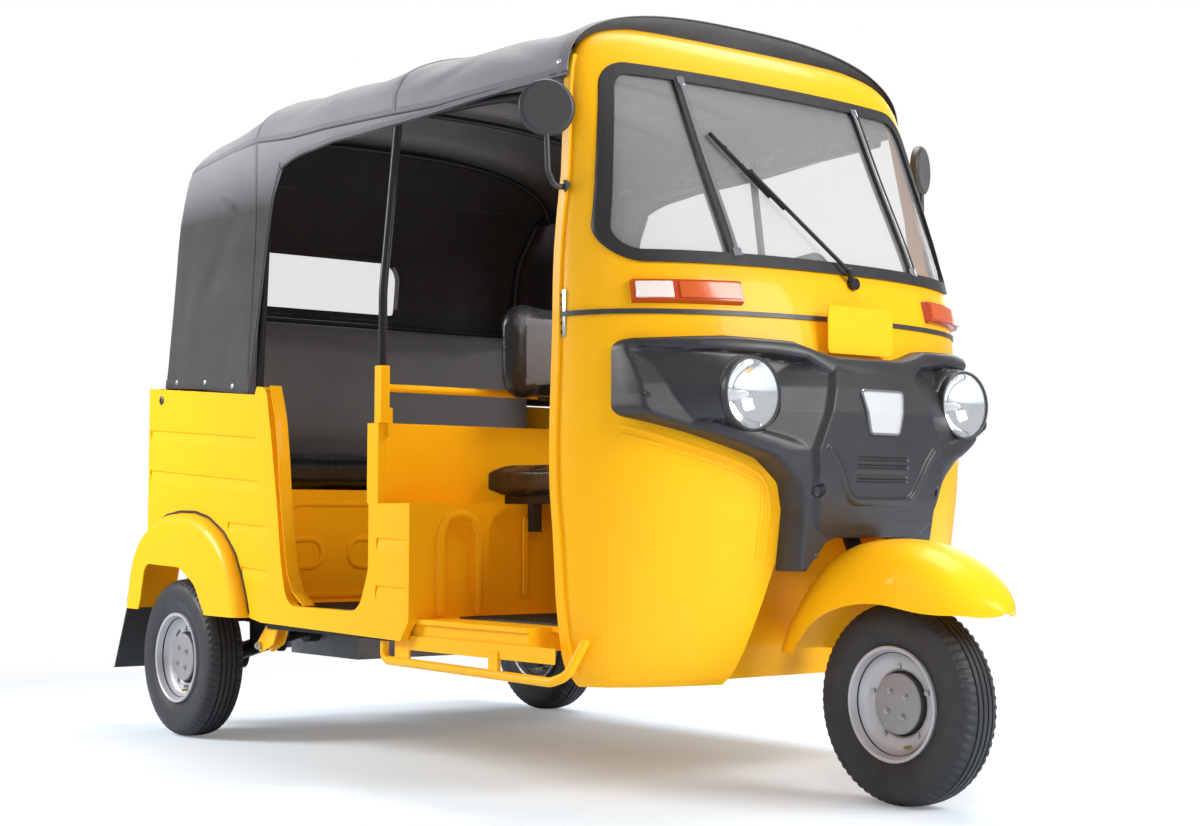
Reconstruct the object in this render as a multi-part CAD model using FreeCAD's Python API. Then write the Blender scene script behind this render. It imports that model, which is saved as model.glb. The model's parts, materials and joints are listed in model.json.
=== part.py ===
import FreeCAD
import Part
import math
import os

V = FreeCAD.Vector

# A three-wheeled auto rickshaw. +X is forward, +Y is its left, +Z is up, in millimetres.
# The origin is on the ground, under the middle of its length and width.

# Overall sizes
WHEELBASE = 2000.0
FRONT_OVERHANG = 262.0
REAR_OVERHANG = 373.0
WIDTH = 1308.0
REAR_TRACK = 1180.0
GAP = 0.3

NOSE_TIP_X = (WHEELBASE + FRONT_OVERHANG + REAR_OVERHANG) / 2
FRONT_AXLE_X = NOSE_TIP_X - FRONT_OVERHANG
REAR_AXLE_X = FRONT_AXLE_X - WHEELBASE

# Wheels and tyres
TYRE_R = 207.0
TYRE_HALF_W = 53.0
TREAD_HALF_W = 38.0
BEAD_R = 101.6
RIM_FLANGE_R = 118.0
RIM_HALF_W = 42.0
RIM_WALL = 5.0
FRONT_DISC_Y = 6.0
REAR_DISC_Y = 14.0
DISC_WALL = 6.0
DRUM_R = 66.0
HUB_R = 32.0
AXLE_R = 12.0
AXLE_FIT = 0.05
STUD_R = 6.0

# Body shell
WALL = 14.0
BODY_HALF_W = 620.0
SIDE_WALL = 20.0
FENDER_WALL = 4.0
FLOOR_TOP = 355.0
FLOOR_WALL = 10.0
BODY_REAR_X = -1165.0
REAR_WALL = 18.0
PARTITION_X = 0.0
PARTITION_WALL = 20.0
SILL_BOTTOM_Z = 318.0
BELT_Z = 1000.0
SILL_DEPTH = 44.0
CAB_EDGE_X = 592.0
CAB_TOP_Z = 1645.0

# Wheel arches
FENDER_HALF_W = WIDTH / 2
FENDER_INNER_Y = 500.0
ARCH_HALF_W_LOW = 262.0
ARCH_HALF_W_HIGH = 182.0
ARCH_TOP_Z = 662.0
ARCH_BACK_X = 702.0
LINER_WALL = 5.0

# Seats
SEAT_BASE_FRONT_X = -600.0
SEAT_BASE_TOP_Z = 650.0
SEAT_HALF_W = 560.0
CUSHION_THICK = 95.0
SEAT_PANEL = 12.0
DRIVER_SEAT_TOP_Z = 700.0
DRIVER_SEAT_THICK = 68.0
DRIVER_SEAT_HALF_W = 325.0

# Steering
CASTER_DEG = 25.0
COLUMN_R = 18.0
HEAD_TUBE_R = 27.0
HANDLE_HALF_W = 260.0
HANDLE_Z = 930.0
HANDLE_R = 12.0
MUDGUARD_HALF_W = 108.0
MUDGUARD_WALL = 4.0
FORK_Y = 84.0

# Roof
ROOF_TOP_Z = 1697.5
ROOF_FABRIC = 4.0
ROOF_EDGE_X = 572.0
EAVE_DROP = 170.0
ARCH_POWER = 2.6
NOSE_POWER = 2.2
HOOP_R = 11.0

# Windscreen
SCREEN_BASE_Z = 1112.0
SCREEN_TOP_Z = 1538.0
SCREEN_BASE_HALF_W = 529.0
SCREEN_TOP_HALF_W = 444.0
SCREEN_CORNER_R = 62.0
PILLAR_Y = 272.0
PILLAR_HALF_W = 11.0
GLASS_DEPTH = 4.0
GLASS_WALL = 5.0
SEAL_PROUD = 6.0
SEAL_LIP = 9.0
SEAL_INNER = 17.0

# Face
LAMP_Y = 319.0
LAMP_Z = 831.0
LAMP_R = 76.0
LAMP_FACE_X = 938.0
LAMP_DEPTH = 44.0
FASCIA_SKIN_GAP = 0.4

# Levels of the cab's outer skin: height, edge x, depth of the nose, half width
NOSE_LEVELS = [
    (236.0, 604.0, 178.0, 512.0),
    (262.0, 602.0, 206.0, 532.0),
    (330.0, 600.0, 240.0, 546.0),
    (450.0, 598.0, 276.0, 551.0),
    (600.0, 595.0, 312.0, 556.0),
    (720.0, 594.0, 327.0, 560.0),
    (860.0, 594.0, 322.0, 557.0),
    (1000.0, 596.0, 302.0, 553.0),
    (1115.0, 597.0, 265.0, 549.0),
    (1300.0, 590.0, 180.0, 528.0),
    (1450.0, 580.0, 115.0, 508.0),
    (1536.0, 570.0, 82.0, 494.0),
    (1588.0, 563.0, 62.0, 468.0),
    (1620.0, 558.0, 44.0, 420.0),
    (1640.0, 554.0, 24.0, 340.0),
]
TOP_BAND_Z = 1500.0


def box(x0, x1, y0, y1, z0, z1):
    return Part.makeBox(x1 - x0, y1 - y0, z1 - z0, V(x0, y0, z0))


def rod(p, q, r):
    p = V(*p)
    q = V(*q)
    return Part.makeCylinder(r, (q - p).Length, p, q - p)


def rounded_loop(points, to3d):
    """A closed wire through (u, v) or (u, v, corner radius) points."""
    flat = [V(p[0], p[1], 0) for p in points]
    radii = [p[2] if len(p) > 2 else 0.0 for p in points]
    corners = []
    count = len(flat)
    for i, corner in enumerate(flat):
        before = flat[i - 1] - corner
        after = flat[(i + 1) % count] - corner
        if radii[i] <= 0:
            corners.append((corner, None, corner))
            continue
        before.normalize()
        after.normalize()
        angle = before.getAngle(after)
        reach = radii[i] / math.tan(angle / 2)
        middle = before + after
        middle.normalize()
        centre = corner + middle * (radii[i] / math.sin(angle / 2))
        corners.append((corner + before * reach, centre - middle * radii[i], corner + after * reach))
    edges = []
    for i, (start, mid, end) in enumerate(corners):
        if mid is not None:
            edges.append(Part.Arc(to3d(start), to3d(mid), to3d(end)).toShape())
        following = corners[(i + 1) % count][0]
        if (following - end).Length > 1e-6:
            edges.append(Part.LineSegment(to3d(end), to3d(following)).toShape())
    return Part.Wire(edges)


def prism_y(points, y0, y1):
    wire = rounded_loop(points, lambda p: V(p.x, y0, p.y))
    return Part.Face(wire).extrude(V(0, y1 - y0, 0))


def prism_x(points, x0, x1):
    wire = rounded_loop(points, lambda p: V(x0, p.x, p.y))
    return Part.Face(wire).extrude(V(x1 - x0, 0, 0))


def prism_z(points, z0, z1):
    wire = rounded_loop(points, lambda p: V(p.x, p.y, z0))
    return Part.Face(wire).extrude(V(0, 0, z1 - z0))


def mirrored(shape):
    return shape.mirror(V(0, 0, 0), V(0, 1, 0))


def both(shape):
    """The right piece and its mirror image on the left, as solids that don't touch."""
    return Part.makeCompound([shape, mirrored(shape)])


def pipe(points, r, bend):
    """A round bar along a path of straight runs joined by tangent arcs."""
    pts = [V(*p) for p in points]
    edges = []
    last = pts[0]
    for i in range(1, len(pts) - 1):
        before = pts[i - 1] - pts[i]
        after = pts[i + 1] - pts[i]
        room = 0.45 * min(before.Length, after.Length)
        before.normalize()
        after.normalize()
        angle = before.getAngle(after)
        reach = min(bend / math.tan(angle / 2), room)
        radius = reach * math.tan(angle / 2)
        middle = before + after
        middle.normalize()
        centre = pts[i] + middle * (radius / math.sin(angle / 2))
        start = pts[i] + before * reach
        end = pts[i] + after * reach
        edges.append(Part.LineSegment(last, start).toShape())
        edges.append(Part.Arc(start, centre - middle * radius, end).toShape())
        last = end
    edges.append(Part.LineSegment(last, pts[-1]).toShape())
    path = Part.Wire(edges)
    circle = Part.Wire(Part.Circle(pts[0], pts[1] - pts[0], r).toShape())
    return path.makePipeShell([circle], True, True)


def revolve_y(points, x, y, z):
    """A ring about an axis along Y through (x, y, z), from (radius, y offset) points."""
    corners = [V(x + p[0], y + p[1], z) for p in points]
    face = Part.Face(Part.makePolygon(corners + corners[:1]))
    return face.revolve(V(x, y, z), V(0, 1, 0), 360)


def superellipse(depth, half_width, power, count=17):
    """Points (depth, side) of half a superellipse, from one side to the other."""
    found = []
    for i in range(count):
        angle = math.pi * (i / (count - 1) - 0.5)
        side = math.copysign(abs(math.sin(angle)) ** (2 / power), math.sin(angle))
        ahead = max(0.0, math.cos(angle)) ** (2 / power)
        found.append((depth * ahead, half_width * side))
    return found


NOSES = {}


def nose_section(level, grow, back_x):
    z, edge_x, depth, half_w = level
    up = max(0.0, (z - TOP_BAND_Z) / (CAB_TOP_Z - TOP_BAND_Z))
    z = z + grow * up
    arc = [V(edge_x + a, s, z) for a, s in superellipse(depth + grow, half_w + grow, NOSE_POWER)]
    curve = Part.BSplineCurve()
    curve.interpolate(arc)
    corners = [arc[-1], V(back_x, arc[-1].y, z), V(back_x, arc[0].y, z), arc[0]]
    lines = [Part.LineSegment(a, b).toShape() for a, b in zip(corners, corners[1:])]
    return Part.Wire([curve.toShape()] + lines)


def nose(grow, back_x=CAB_EDGE_X - 60):
    """The cab's front as a solid, grown outward from its outer skin by the given amount."""
    if (grow, back_x) not in NOSES:
        wires = [nose_section(level, grow, back_x) for level in NOSE_LEVELS]
        NOSES[(grow, back_x)] = Part.makeLoft(wires, True, False)
    return NOSES[(grow, back_x)]


def nose_x(y, z):
    """The outer skin's x on the given spot, between the levels around it."""
    for low, high in zip(NOSE_LEVELS, NOSE_LEVELS[1:]):
        if low[0] <= z <= high[0]:
            t = (z - low[0]) / (high[0] - low[0])
            edge_x, depth, half_w = (low[i] + t * (high[i] - low[i]) for i in (1, 2, 3))
            return edge_x + depth * (1 - abs(y / half_w) ** NOSE_POWER) ** (1 / NOSE_POWER)
    raise ValueError("outside the cab's height")


def cab_side_cut(back_shift=0.0):
    """The cab's side view: everything ahead of its rear edge."""
    s = back_shift
    return prism_y(
        [(CAB_EDGE_X + 34 + s, 200), (CAB_EDGE_X + 12 + s, 420), (CAB_EDGE_X + s, 640),
         (CAB_EDGE_X + s, 1000), (CAB_EDGE_X - 6 + s, 1300), (CAB_EDGE_X - 40 + s, 1560),
         (CAB_EDGE_X - 58 + s, 1760), (1400, 1760), (1400, 200)],
        -WIDTH, WIDTH)


def screen_outline(grow):
    g = grow
    r = SCREEN_CORNER_R + g
    return [(-SCREEN_BASE_HALF_W - g, SCREEN_BASE_Z - g, r), (SCREEN_BASE_HALF_W + g, SCREEN_BASE_Z - g, r),
            (SCREEN_TOP_HALF_W + g, SCREEN_TOP_Z + g, r), (-SCREEN_TOP_HALF_W - g, SCREEN_TOP_Z + g, r)]


def arch_prism(grow):
    """The front wheel's opening in the cab, seen from ahead."""
    g = grow
    return prism_x(
        [(-ARCH_HALF_W_LOW - g, 150), (ARCH_HALF_W_LOW + g, 150), (ARCH_HALF_W_HIGH + g, 540),
         (ARCH_HALF_W_HIGH + g, ARCH_TOP_Z + g, 40), (-ARCH_HALF_W_HIGH - g, ARCH_TOP_Z + g, 40),
         (-ARCH_HALF_W_HIGH - g, 540)],
        ARCH_BACK_X - 2, 1200)


def make_cab_shell():
    """The cab's shell, split at its belt line, with the screen and wheel openings cut."""
    above = cab_side_cut().common(box(300, 1200, -700, 700, BELT_Z, 1800))
    below = cab_side_cut().common(box(300, 1200, -700, 700, 100, BELT_Z))
    edge = cab_side_cut().cut(cab_side_cut(22))
    rim_above = edge.common(box(300, 1200, -700, 700, BELT_Z, 1560)).common(nose(7))
    rim_below = edge.common(box(300, 1200, -700, 700, 262, BELT_Z)).common(nose(7))
    upper = nose(0).common(above.cut(prism_x(screen_outline(0), 400, 1200))).fuse(rim_above)
    lower = nose(0).common(below.cut(arch_prism(0))).fuse(rim_below)
    return upper.cut(nose(-WALL)), lower.cut(nose(-WALL))


def make_windscreen():
    depth = GLASS_DEPTH
    opening = prism_x(screen_outline(-6), 400, 1200)
    for s in (-1, 1):
        half = PILLAR_HALF_W - 4
        opening = opening.cut(box(400, 1200, s * PILLAR_Y - half, s * PILLAR_Y + half, 1000, 1600))
    panes = opening.common(nose(-depth)).cut(nose(-depth - GLASS_WALL))
    whole = prism_x(screen_outline(-GAP), 400, 1200)
    frame = whole.cut(prism_x(screen_outline(-SEAL_INNER), 400, 1200))
    for s in (-1, 1):
        post = box(400, 1200, s * PILLAR_Y - PILLAR_HALF_W, s * PILLAR_Y + PILLAR_HALF_W, 1000, 1600)
        frame = frame.fuse(post.common(whole))
    ring = frame.common(nose(SEAL_PROUD)).cut(nose(-WALL - 2)).cut(panes)
    edge = prism_x(screen_outline(SEAL_LIP), 400, 1200).cut(prism_x(screen_outline(-GAP - 1), 400, 1200))
    lip = edge.common(nose(SEAL_PROUD)).cut(nose(GAP))
    return panes, ring.fuse(lip)


def make_belt_trim():
    band = cab_side_cut(24).common(box(300, 1200, -700, 700, BELT_Z - 5, BELT_Z + 5))
    return band.common(nose(4)).cut(nose(GAP))


def make_indicators():
    outline = [(-497, 1017, 8), (-280, 1017, 8), (-280, 1066, 8), (-497, 1066, 8)]
    return both(prism_x(outline, 600, 1100).common(nose(15)).cut(nose(GAP)))


def fascia_level(z, edge_x, depth, half_w, proud):
    arc = [V(edge_x + a, s, z) for a, s in superellipse(depth + proud, half_w + 14, NOSE_POWER)]
    curve = Part.BSplineCurve()
    curve.interpolate(arc)
    back_x = edge_x - 60
    corners = [arc[-1], V(back_x, arc[-1].y, z), V(back_x, arc[0].y, z), arc[0]]
    lines = [Part.LineSegment(a, b).toShape() for a, b in zip(corners, corners[1:])]
    return Part.Wire([curve.toShape()] + lines)


# The black face panel: how far its middle stands out from the cab at each level
FASCIA_LEVELS = [(450.0, 598.0, 276.0, 551.0, 76.0), (560.0, 596.0, 304.0, 555.0, 72.0),
                 (650.0, 595.0, 320.0, 558.0, 66.0), (800.0, 594.0, 325.0, 559.0, 74.0),
                 (880.0, 594.0, 320.0, 557.0, 52.0), (990.0, 596.0, 304.0, 553.0, 26.0)]
FASCIA_HALF = [(0, 918), (95, 918), (140, 928, 30), (195, 945, 30), (340, 951, 100), (508, 944, 24),
               (515, 786, 24), (400, 752, 60), (268, 704, 50), (214, 655, 30), (198, 600), (190, 474),
               (168, 474), (132, 530),
               (100, 542, 10), (0, 542)]


def fascia_outline():
    return FASCIA_HALF + [(-p[0],) + tuple(p[1:]) for p in reversed(FASCIA_HALF) if p[0] > 0]


def make_fascia():
    outer = Part.makeLoft([fascia_level(*level) for level in FASCIA_LEVELS], True, False)
    body = prism_x(fascia_outline(), 600, 1200).common(outer).cut(nose(FASCIA_SKIN_GAP))
    body = body.cut(arch_prism(-3).common(box(600, 900, -500, 500, 0, 700)))
    body = body.cut(rod(steer_point(400), steer_point(720), COLUMN_R + 6))
    for s in (-1, 1):
        body = body.cut(lamp_seat(s))
    return body


def lamp_seat(s):
    """The round recess that each headlamp sits in, open ahead."""
    return rod((LAMP_FACE_X - LAMP_DEPTH - 60, s * LAMP_Y, LAMP_Z), (LAMP_FACE_X + 60, s * LAMP_Y, LAMP_Z),
               LAMP_R + GAP)


def make_headlamps():
    """Each lamp's bowl with its domed lens, as one round solid."""
    back_x = LAMP_FACE_X - LAMP_DEPTH
    rim_x = LAMP_FACE_X - 18
    bowl = Part.makeCone(LAMP_R * 0.70, LAMP_R, rim_x - back_x, V(back_x, 0, 0), V(1, 0, 0))
    ring = rod((rim_x, 0, 0), (LAMP_FACE_X - 6, 0, 0), LAMP_R)
    sphere_r = 220.0
    lens = Part.makeSphere(sphere_r, V(LAMP_FACE_X + 9 - sphere_r, 0, 0))
    lens = lens.common(rod((LAMP_FACE_X - 7, 0, 0), (LAMP_FACE_X + 20, 0, 0), LAMP_R - 5))
    lamp = bowl.fuse([ring, lens])
    return Part.makeCompound([lamp.translated(V(0, s * LAMP_Y, LAMP_Z)) for s in (-1, 1)])


def make_front_plate():
    plate_x = nose_x(0, BELT_Z) + 30
    outline = [(-97, 926, 8), (97, 926, 8), (97, 1026, 8), (-97, 1026, 8)]
    plate = prism_x(outline, plate_x, plate_x + 3)
    for y in (-60, 60):
        stand = rod((plate_x - 60, y, 985), (plate_x + 1, y, 985), 8)
        plate = plate.fuse(stand.cut(nose(0)))
    return plate


# The rear arch's outer line from its back foot to its front foot: x from the axle, height
ARCH_LINE = [(-290, 356), (-274, 427), (-247, 486), (-208, 527), (-165, 553), (-102, 577), (-24, 587),
             (64, 586), (140, 572), (224, 534), (286, 482), (326, 417), (349, 366), (362, 324)]


def arch_face(inset, y):
    """The face under the arch's line, moved inward by the given amount, on the plane at y."""
    points = []
    last = len(ARCH_LINE) - 1
    for i, (px, pz) in enumerate(ARCH_LINE):
        ax, az = ARCH_LINE[max(0, i - 1)]
        bx, bz = ARCH_LINE[min(last, i + 1)]
        length = math.hypot(bx - ax, bz - az)
        nx, nz = (bz - az) / length, -(bx - ax) / length
        points.append(V(REAR_AXLE_X + px + inset * nx, y, pz + inset * nz))
    curve = Part.BSplineCurve()
    curve.interpolate(points)
    foot = 322.0
    ends = [points[-1], V(points[-1].x, y, foot), V(points[0].x, y, foot), points[0]]
    lines = [Part.LineSegment(p, q).toShape() for p, q in zip(ends, ends[1:]) if (q - p).Length > 0.01]
    return Part.Face(Part.Wire([curve.toShape()] + lines))


def arch_solid(inset, y_outer, y_inner, edge_r=0.0):
    face = arch_face(inset, y_outer)
    solid = face.extrude(V(0, y_inner - y_outer, 0))
    if edge_r:
        edges = [e for e in solid.Edges if e.Curve.TypeId == "Part::GeomBSplineCurve"
                 and all(abs(v.Y - y_outer) < 0.01 for v in e.Vertexes)]
        solid = solid.makeFillet(edge_r, edges)
    return solid


def arch_spaces():
    """The two solids to cut from whatever meets the rear arches."""
    arch = arch_solid(-GAP, -700, -FENDER_INNER_Y + GAP)
    return [arch, mirrored(arch)]


def fender_opening():
    x = REAR_AXLE_X
    return [(x - 300, 150), (x - 190, 352), (x - 164, 452, 34), (x + 40, 446, 50), (x + 128, 404, 60),
            (x + 190, 322, 20), (x + 200, 300), (x + 200, 150)]


def make_fender():
    """The right rear wheel's arch: a deep curved hood with its outer face cut for the wheel."""
    outer = arch_solid(0, -FENDER_HALF_W, -FENDER_INNER_Y, 30)
    inner = arch_solid(FENDER_WALL, -FENDER_HALF_W + FENDER_WALL, -FENDER_INNER_Y + 10, 26)
    shell = outer.cut(inner)
    shell = shell.cut(prism_y(fender_opening(), -FENDER_HALF_W - 5, -FENDER_INNER_Y + 10))
    return shell.cut(box(-2000, 0, -700, -400, 0, 327))


def make_side_panel():
    """The right quarter panel, its sill and the pillar behind the driver, in one pressing."""
    x = PARTITION_X
    outline = [
        (BODY_REAR_X, 340), (BODY_REAR_X, 930), (-566, 886), (-556, 906, 6), (-508, 902, 30),
        (-478, 770, 400), (-444, 600, 400), (-424, 470, 120), (-392, 364, 56), (-60, 364, 56),
        (x - 20, 460, 70), (x - 20, 612),
        (x - 28, 614), (x - 28, 795), (x + 18, 795), (x + 18, 612), (x + 150, 612), (x + 150, 350),
        (x + 116, 306), (-520, SILL_BOTTOM_Z), (-596, 330)]
    panel = prism_y(outline, -BODY_HALF_W, -BODY_HALF_W + SIDE_WALL)
    panel = panel.cut(arch_solid(-GAP, -700, -400))
    panel = panel.cut(box(-2000, REAR_AXLE_X + 150, -700, -400, 0, 480))
    for rib in SIDE_RIBS:
        panel = panel.cut(side_rib(*rib))
    return panel


RIB_DEPTH = 3.5
# Pressed ribs: back x, front x, height at the back, height at the front, band height
SIDE_RIBS = [(-1153, -548, 816, 778, 30), (-1153, -532, 706, 668, 30), (-700, -500, 566, 556, 26),
             (-625, -484, 454, 446, 24), (14, 134, 534, 532, 30), (12, 134, 426, 424, 30)]


def side_rib(x0, x1, z0, z1, band):
    """A shallow pressed band: deepest at its top edge and fading out downward."""
    outer = -BODY_HALF_W
    y = outer - 1
    wedge = [V(x0, y, z0), V(x0, outer + RIB_DEPTH, z0), V(x0, outer + RIB_DEPTH, z0 - 6),
             V(x0, outer - 0.01, z0 - band), V(x0, y, z0 - band)]
    face = Part.Face(Part.makePolygon(wedge + wedge[:1]))
    return face.extrude(V(x1 - x0, 0, z1 - z0))


def make_rear_panel():
    half = BODY_HALF_W - SIDE_WALL
    outline = [(-half, 362), (half, 362), (half, 930), (-half, 930)]
    panel = prism_x(outline, BODY_REAR_X, BODY_REAR_X + REAR_WALL)
    panel = panel.cut(prism_x(hatch_outline(0), BODY_REAR_X - 10, BODY_REAR_X + 40))
    for y in (-HATCH_HINGE_Y, HATCH_HINGE_Y):
        panel = panel.fuse(hinge_rod(y - 24, y + 24, HATCH_PIN_R))
        for y0 in (y - 24, y + 16):
            ear = box(HATCH_HINGE_X, BODY_REAR_X, y0, y0 + 8, HATCH_HINGE_Z - 2, HATCH_HINGE_Z + 14)
            panel = panel.fuse(ear.fuse(hinge_rod(y0, y0 + 8, HATCH_KNUCKLE_R)))
    return panel.cut(arch_spaces())


HATCH_TOP_Z = 800.0
HATCH_BOTTOM_Z = 402.0
HATCH_HALF_W = 330.0
HATCH_GAP = 5.0
HATCH_HINGE_Y = 210.0
HATCH_HINGE_X = BODY_REAR_X - 9
HATCH_HINGE_Z = HATCH_TOP_Z + 4
HATCH_PIN_R = 4.0
HATCH_PIN_FIT = 0.05
HATCH_KNUCKLE_R = 8.0


def hinge_rod(y0, y1, r):
    """A round bar on the lid's hinge line, from y0 to y1."""
    return rod((HATCH_HINGE_X, y0, HATCH_HINGE_Z), (HATCH_HINGE_X, y1, HATCH_HINGE_Z), r)


def hatch_outline(grow):
    g = grow
    return [(-HATCH_HALF_W - g, HATCH_BOTTOM_Z - g, 40), (HATCH_HALF_W + g, HATCH_BOTTOM_Z - g, 40),
            (HATCH_HALF_W + g, HATCH_TOP_Z + g, 12), (-HATCH_HALF_W - g, HATCH_TOP_Z + g, 12)]


def make_engine_hatch():
    """The engine's lid in the rear wall, hung from its top edge, with louvres and a catch."""
    lid = prism_x(hatch_outline(-HATCH_GAP), BODY_REAR_X, BODY_REAR_X + REAR_WALL - 5)
    lid = lid.cut(prism_x(hatch_outline(-HATCH_GAP - 14), BODY_REAR_X + 4, BODY_REAR_X + REAR_WALL))
    for i in range(6):
        z = 470 + i * 34
        for y0 in (-250, 50):
            slot = box(BODY_REAR_X - 5, BODY_REAR_X + 8, y0, y0 + 200, z, z + 12)
            hood = prism_y([(BODY_REAR_X - 10, z + 4), (BODY_REAR_X, z + 16), (BODY_REAR_X, z + 12),
                            (BODY_REAR_X - 6, z + 2)], y0, y0 + 200)
            lid = lid.cut(slot).fuse(hood)
    catch = rod((BODY_REAR_X - 12, 0, 430), (BODY_REAR_X + 2, 0, 430), 14)
    lid = lid.fuse(catch)
    for y in (-HATCH_HINGE_Y, HATCH_HINGE_Y):
        knuckle = hinge_rod(y - 15, y + 15, HATCH_KNUCKLE_R)
        leaf = box(BODY_REAR_X - 5, BODY_REAR_X - 1, y - 15, y + 15, HATCH_TOP_Z - 40, HATCH_HINGE_Z)
        pad = box(BODY_REAR_X - 5, BODY_REAR_X, y - 15, y + 15, HATCH_TOP_Z - 40, HATCH_TOP_Z - HATCH_GAP - 1)
        bore = hinge_rod(y - 20, y + 20, HATCH_PIN_R + HATCH_PIN_FIT)
        lid = lid.fuse(knuckle.fuse([leaf, pad]).cut(bore))
    return lid


def make_seat_base():
    """The rear seat's box: its pressed front and the deck over the engine."""
    half = BODY_HALF_W - SIDE_WALL
    front = box(SEAT_BASE_FRONT_X - SEAT_PANEL, SEAT_BASE_FRONT_X, -half, half, FLOOR_TOP, SEAT_BASE_TOP_Z)
    deck = box(BODY_REAR_X + REAR_WALL, SEAT_BASE_FRONT_X, -half, half, SEAT_BASE_TOP_Z - SEAT_PANEL,
               SEAT_BASE_TOP_Z)
    walls = [box(BODY_REAR_X + REAR_WALL, SEAT_BASE_FRONT_X - 5, s * (FENDER_INNER_Y - 12) - 5,
                 s * (FENDER_INNER_Y - 12) + 5, FLOOR_TOP, SEAT_BASE_TOP_Z - 5) for s in (-1, 1)]
    return front.fuse([deck] + walls).cut(arch_spaces())


def make_rear_cushion():
    outline = [(-1080, SEAT_BASE_TOP_Z + GAP, 10), (SEAT_BASE_FRONT_X + 12, SEAT_BASE_TOP_Z + GAP, 20),
               (SEAT_BASE_FRONT_X + 12, SEAT_BASE_TOP_Z + CUSHION_THICK, 32),
               (-1080, SEAT_BASE_TOP_Z + CUSHION_THICK - 10, 10)]
    return prism_y(outline, -SEAT_HALF_W, SEAT_HALF_W)


def make_rear_backrest():
    low = SEAT_BASE_TOP_Z + CUSHION_THICK - 7.7
    outline = [(-1052, low, 10), (-962, low, 25), (-1000, 1130, 30), (-1072, 1130, 12)]
    return prism_y(outline, -SEAT_HALF_W + 10, SEAT_HALF_W - 10)


LOCKER_X = PARTITION_X + 148
SHELF_Z = 612.0


def make_partition():
    """The wall behind the driver: a flat top half, and a deeper lower half with a niche each side."""
    half = BODY_HALF_W - SIDE_WALL - GAP
    x = PARTITION_X
    top = box(x - 2, x + 18, -half, half, SHELF_Z - 12, 795)
    lower = box(x - 2, LOCKER_X, -half, half, FLOOR_TOP, SHELF_Z)
    hollow = box(x - 10, LOCKER_X - 14, -half + 14, half - 14, FLOOR_TOP + 12, SHELF_Z - 12)
    lower = lower.cut(hollow)
    for s in (-1, 1):
        y = s * 487
        niche = [(y - 44, FLOOR_TOP - 5), (y + 44, FLOOR_TOP - 5), (y + 44, 566, 42), (y - 44, 566, 42)]
        lower = lower.cut(prism_x(niche, LOCKER_X - 8, LOCKER_X + 5))
    middle = prism_x([(-400, FLOOR_TOP + 14, 20), (400, FLOOR_TOP + 14, 20), (400, 590, 40), (-400, 590, 40)],
                     LOCKER_X - 6, LOCKER_X + 5)
    return top.fuse(lower.cut(middle))


POST_TOP_Z = 926.0


def make_partition_rail():
    """The cross bar over the partition, with the stub posts that carry it and the hood's posts."""
    x = PARTITION_X
    inner = BODY_HALF_W - SIDE_WALL - GAP
    outer = BODY_HALF_W
    bar = rod((x + 14, -inner, 876), (x + 14, inner, 876), 9)
    parts = []
    for s in (-1, 1):
        post = sorted((s * outer, s * (inner - 3)))
        foot = sorted((s * inner, s * (inner - 12)))
        parts.append(box(x + 1, x + 28, post[0], post[1], 795 + GAP, POST_TOP_Z))
        parts.append(box(x + 1, x + 28, foot[0], foot[1], 770, 830))
    return bar.fuse(parts)


def make_floor():
    half = BODY_HALF_W - SIDE_WALL
    low = FLOOR_TOP - FLOOR_WALL
    middle = box(SEAT_BASE_FRONT_X - SEAT_PANEL, 600, -half, half, low, FLOOR_TOP)
    front_x = ARCH_BACK_X - LINER_WALL - GAP
    ahead = nose(-WALL - GAP, 560).common(box(560, front_x, -half, half, low, FLOOR_TOP))
    floor = middle.common(box(-700, 560, -half, half, 0, 500)).fuse(ahead)
    return floor.removeSplitter().cut(arch_spaces())


ARM_PIVOT = (-790.0, 450.0, 250.0)
RAIL_Y = 305.0
RAIL_HALF_W = 25.0
SILL_Y = 545.0


def make_chassis():
    """Two box rails under the floor, their cross members, sills and the rear suspension's brackets."""
    top = FLOOR_TOP - FLOOR_WALL
    px, py, pz = ARM_PIVOT
    inner = RAIL_Y - RAIL_HALF_W - GAP
    outer = RAIL_Y + RAIL_HALF_W + GAP
    parts = [box(x, x + 40, -inner, inner, top - 50, top - 4) for x in (-1060, -720, -160, 420)]
    for s in (-1, 1):
        parts.append(box(-1140, 640, s * RAIL_Y - RAIL_HALF_W, s * RAIL_Y + RAIL_HALF_W, top - 62, top))
        sill = sorted((s * SILL_Y, s * 592))
        parts.append(box(-540, 560, sill[0], sill[1], top - SILL_DEPTH, top))
        for x in (-500, -40, 500):
            ends = (s * outer, s * (SILL_Y - GAP))
            parts.append(box(x, x + 50, min(ends), max(ends), top - 40, top))
        ends = (s * outer, s * (py + 42))
        bracket = box(px - 40, px + 76, min(ends), max(ends), top - 24, top)
        for y in (s * py - 40, s * py + 32):
            bracket = bracket.fuse(prism_y([(px - 30, top - 20), (px + 66, top - 20), (px + 24, pz - 26, 20),
                                            (px - 24, pz - 26, 20)], y, y + 8))
        parts.append(bracket)
    return Part.makeCompound(parts)


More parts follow.
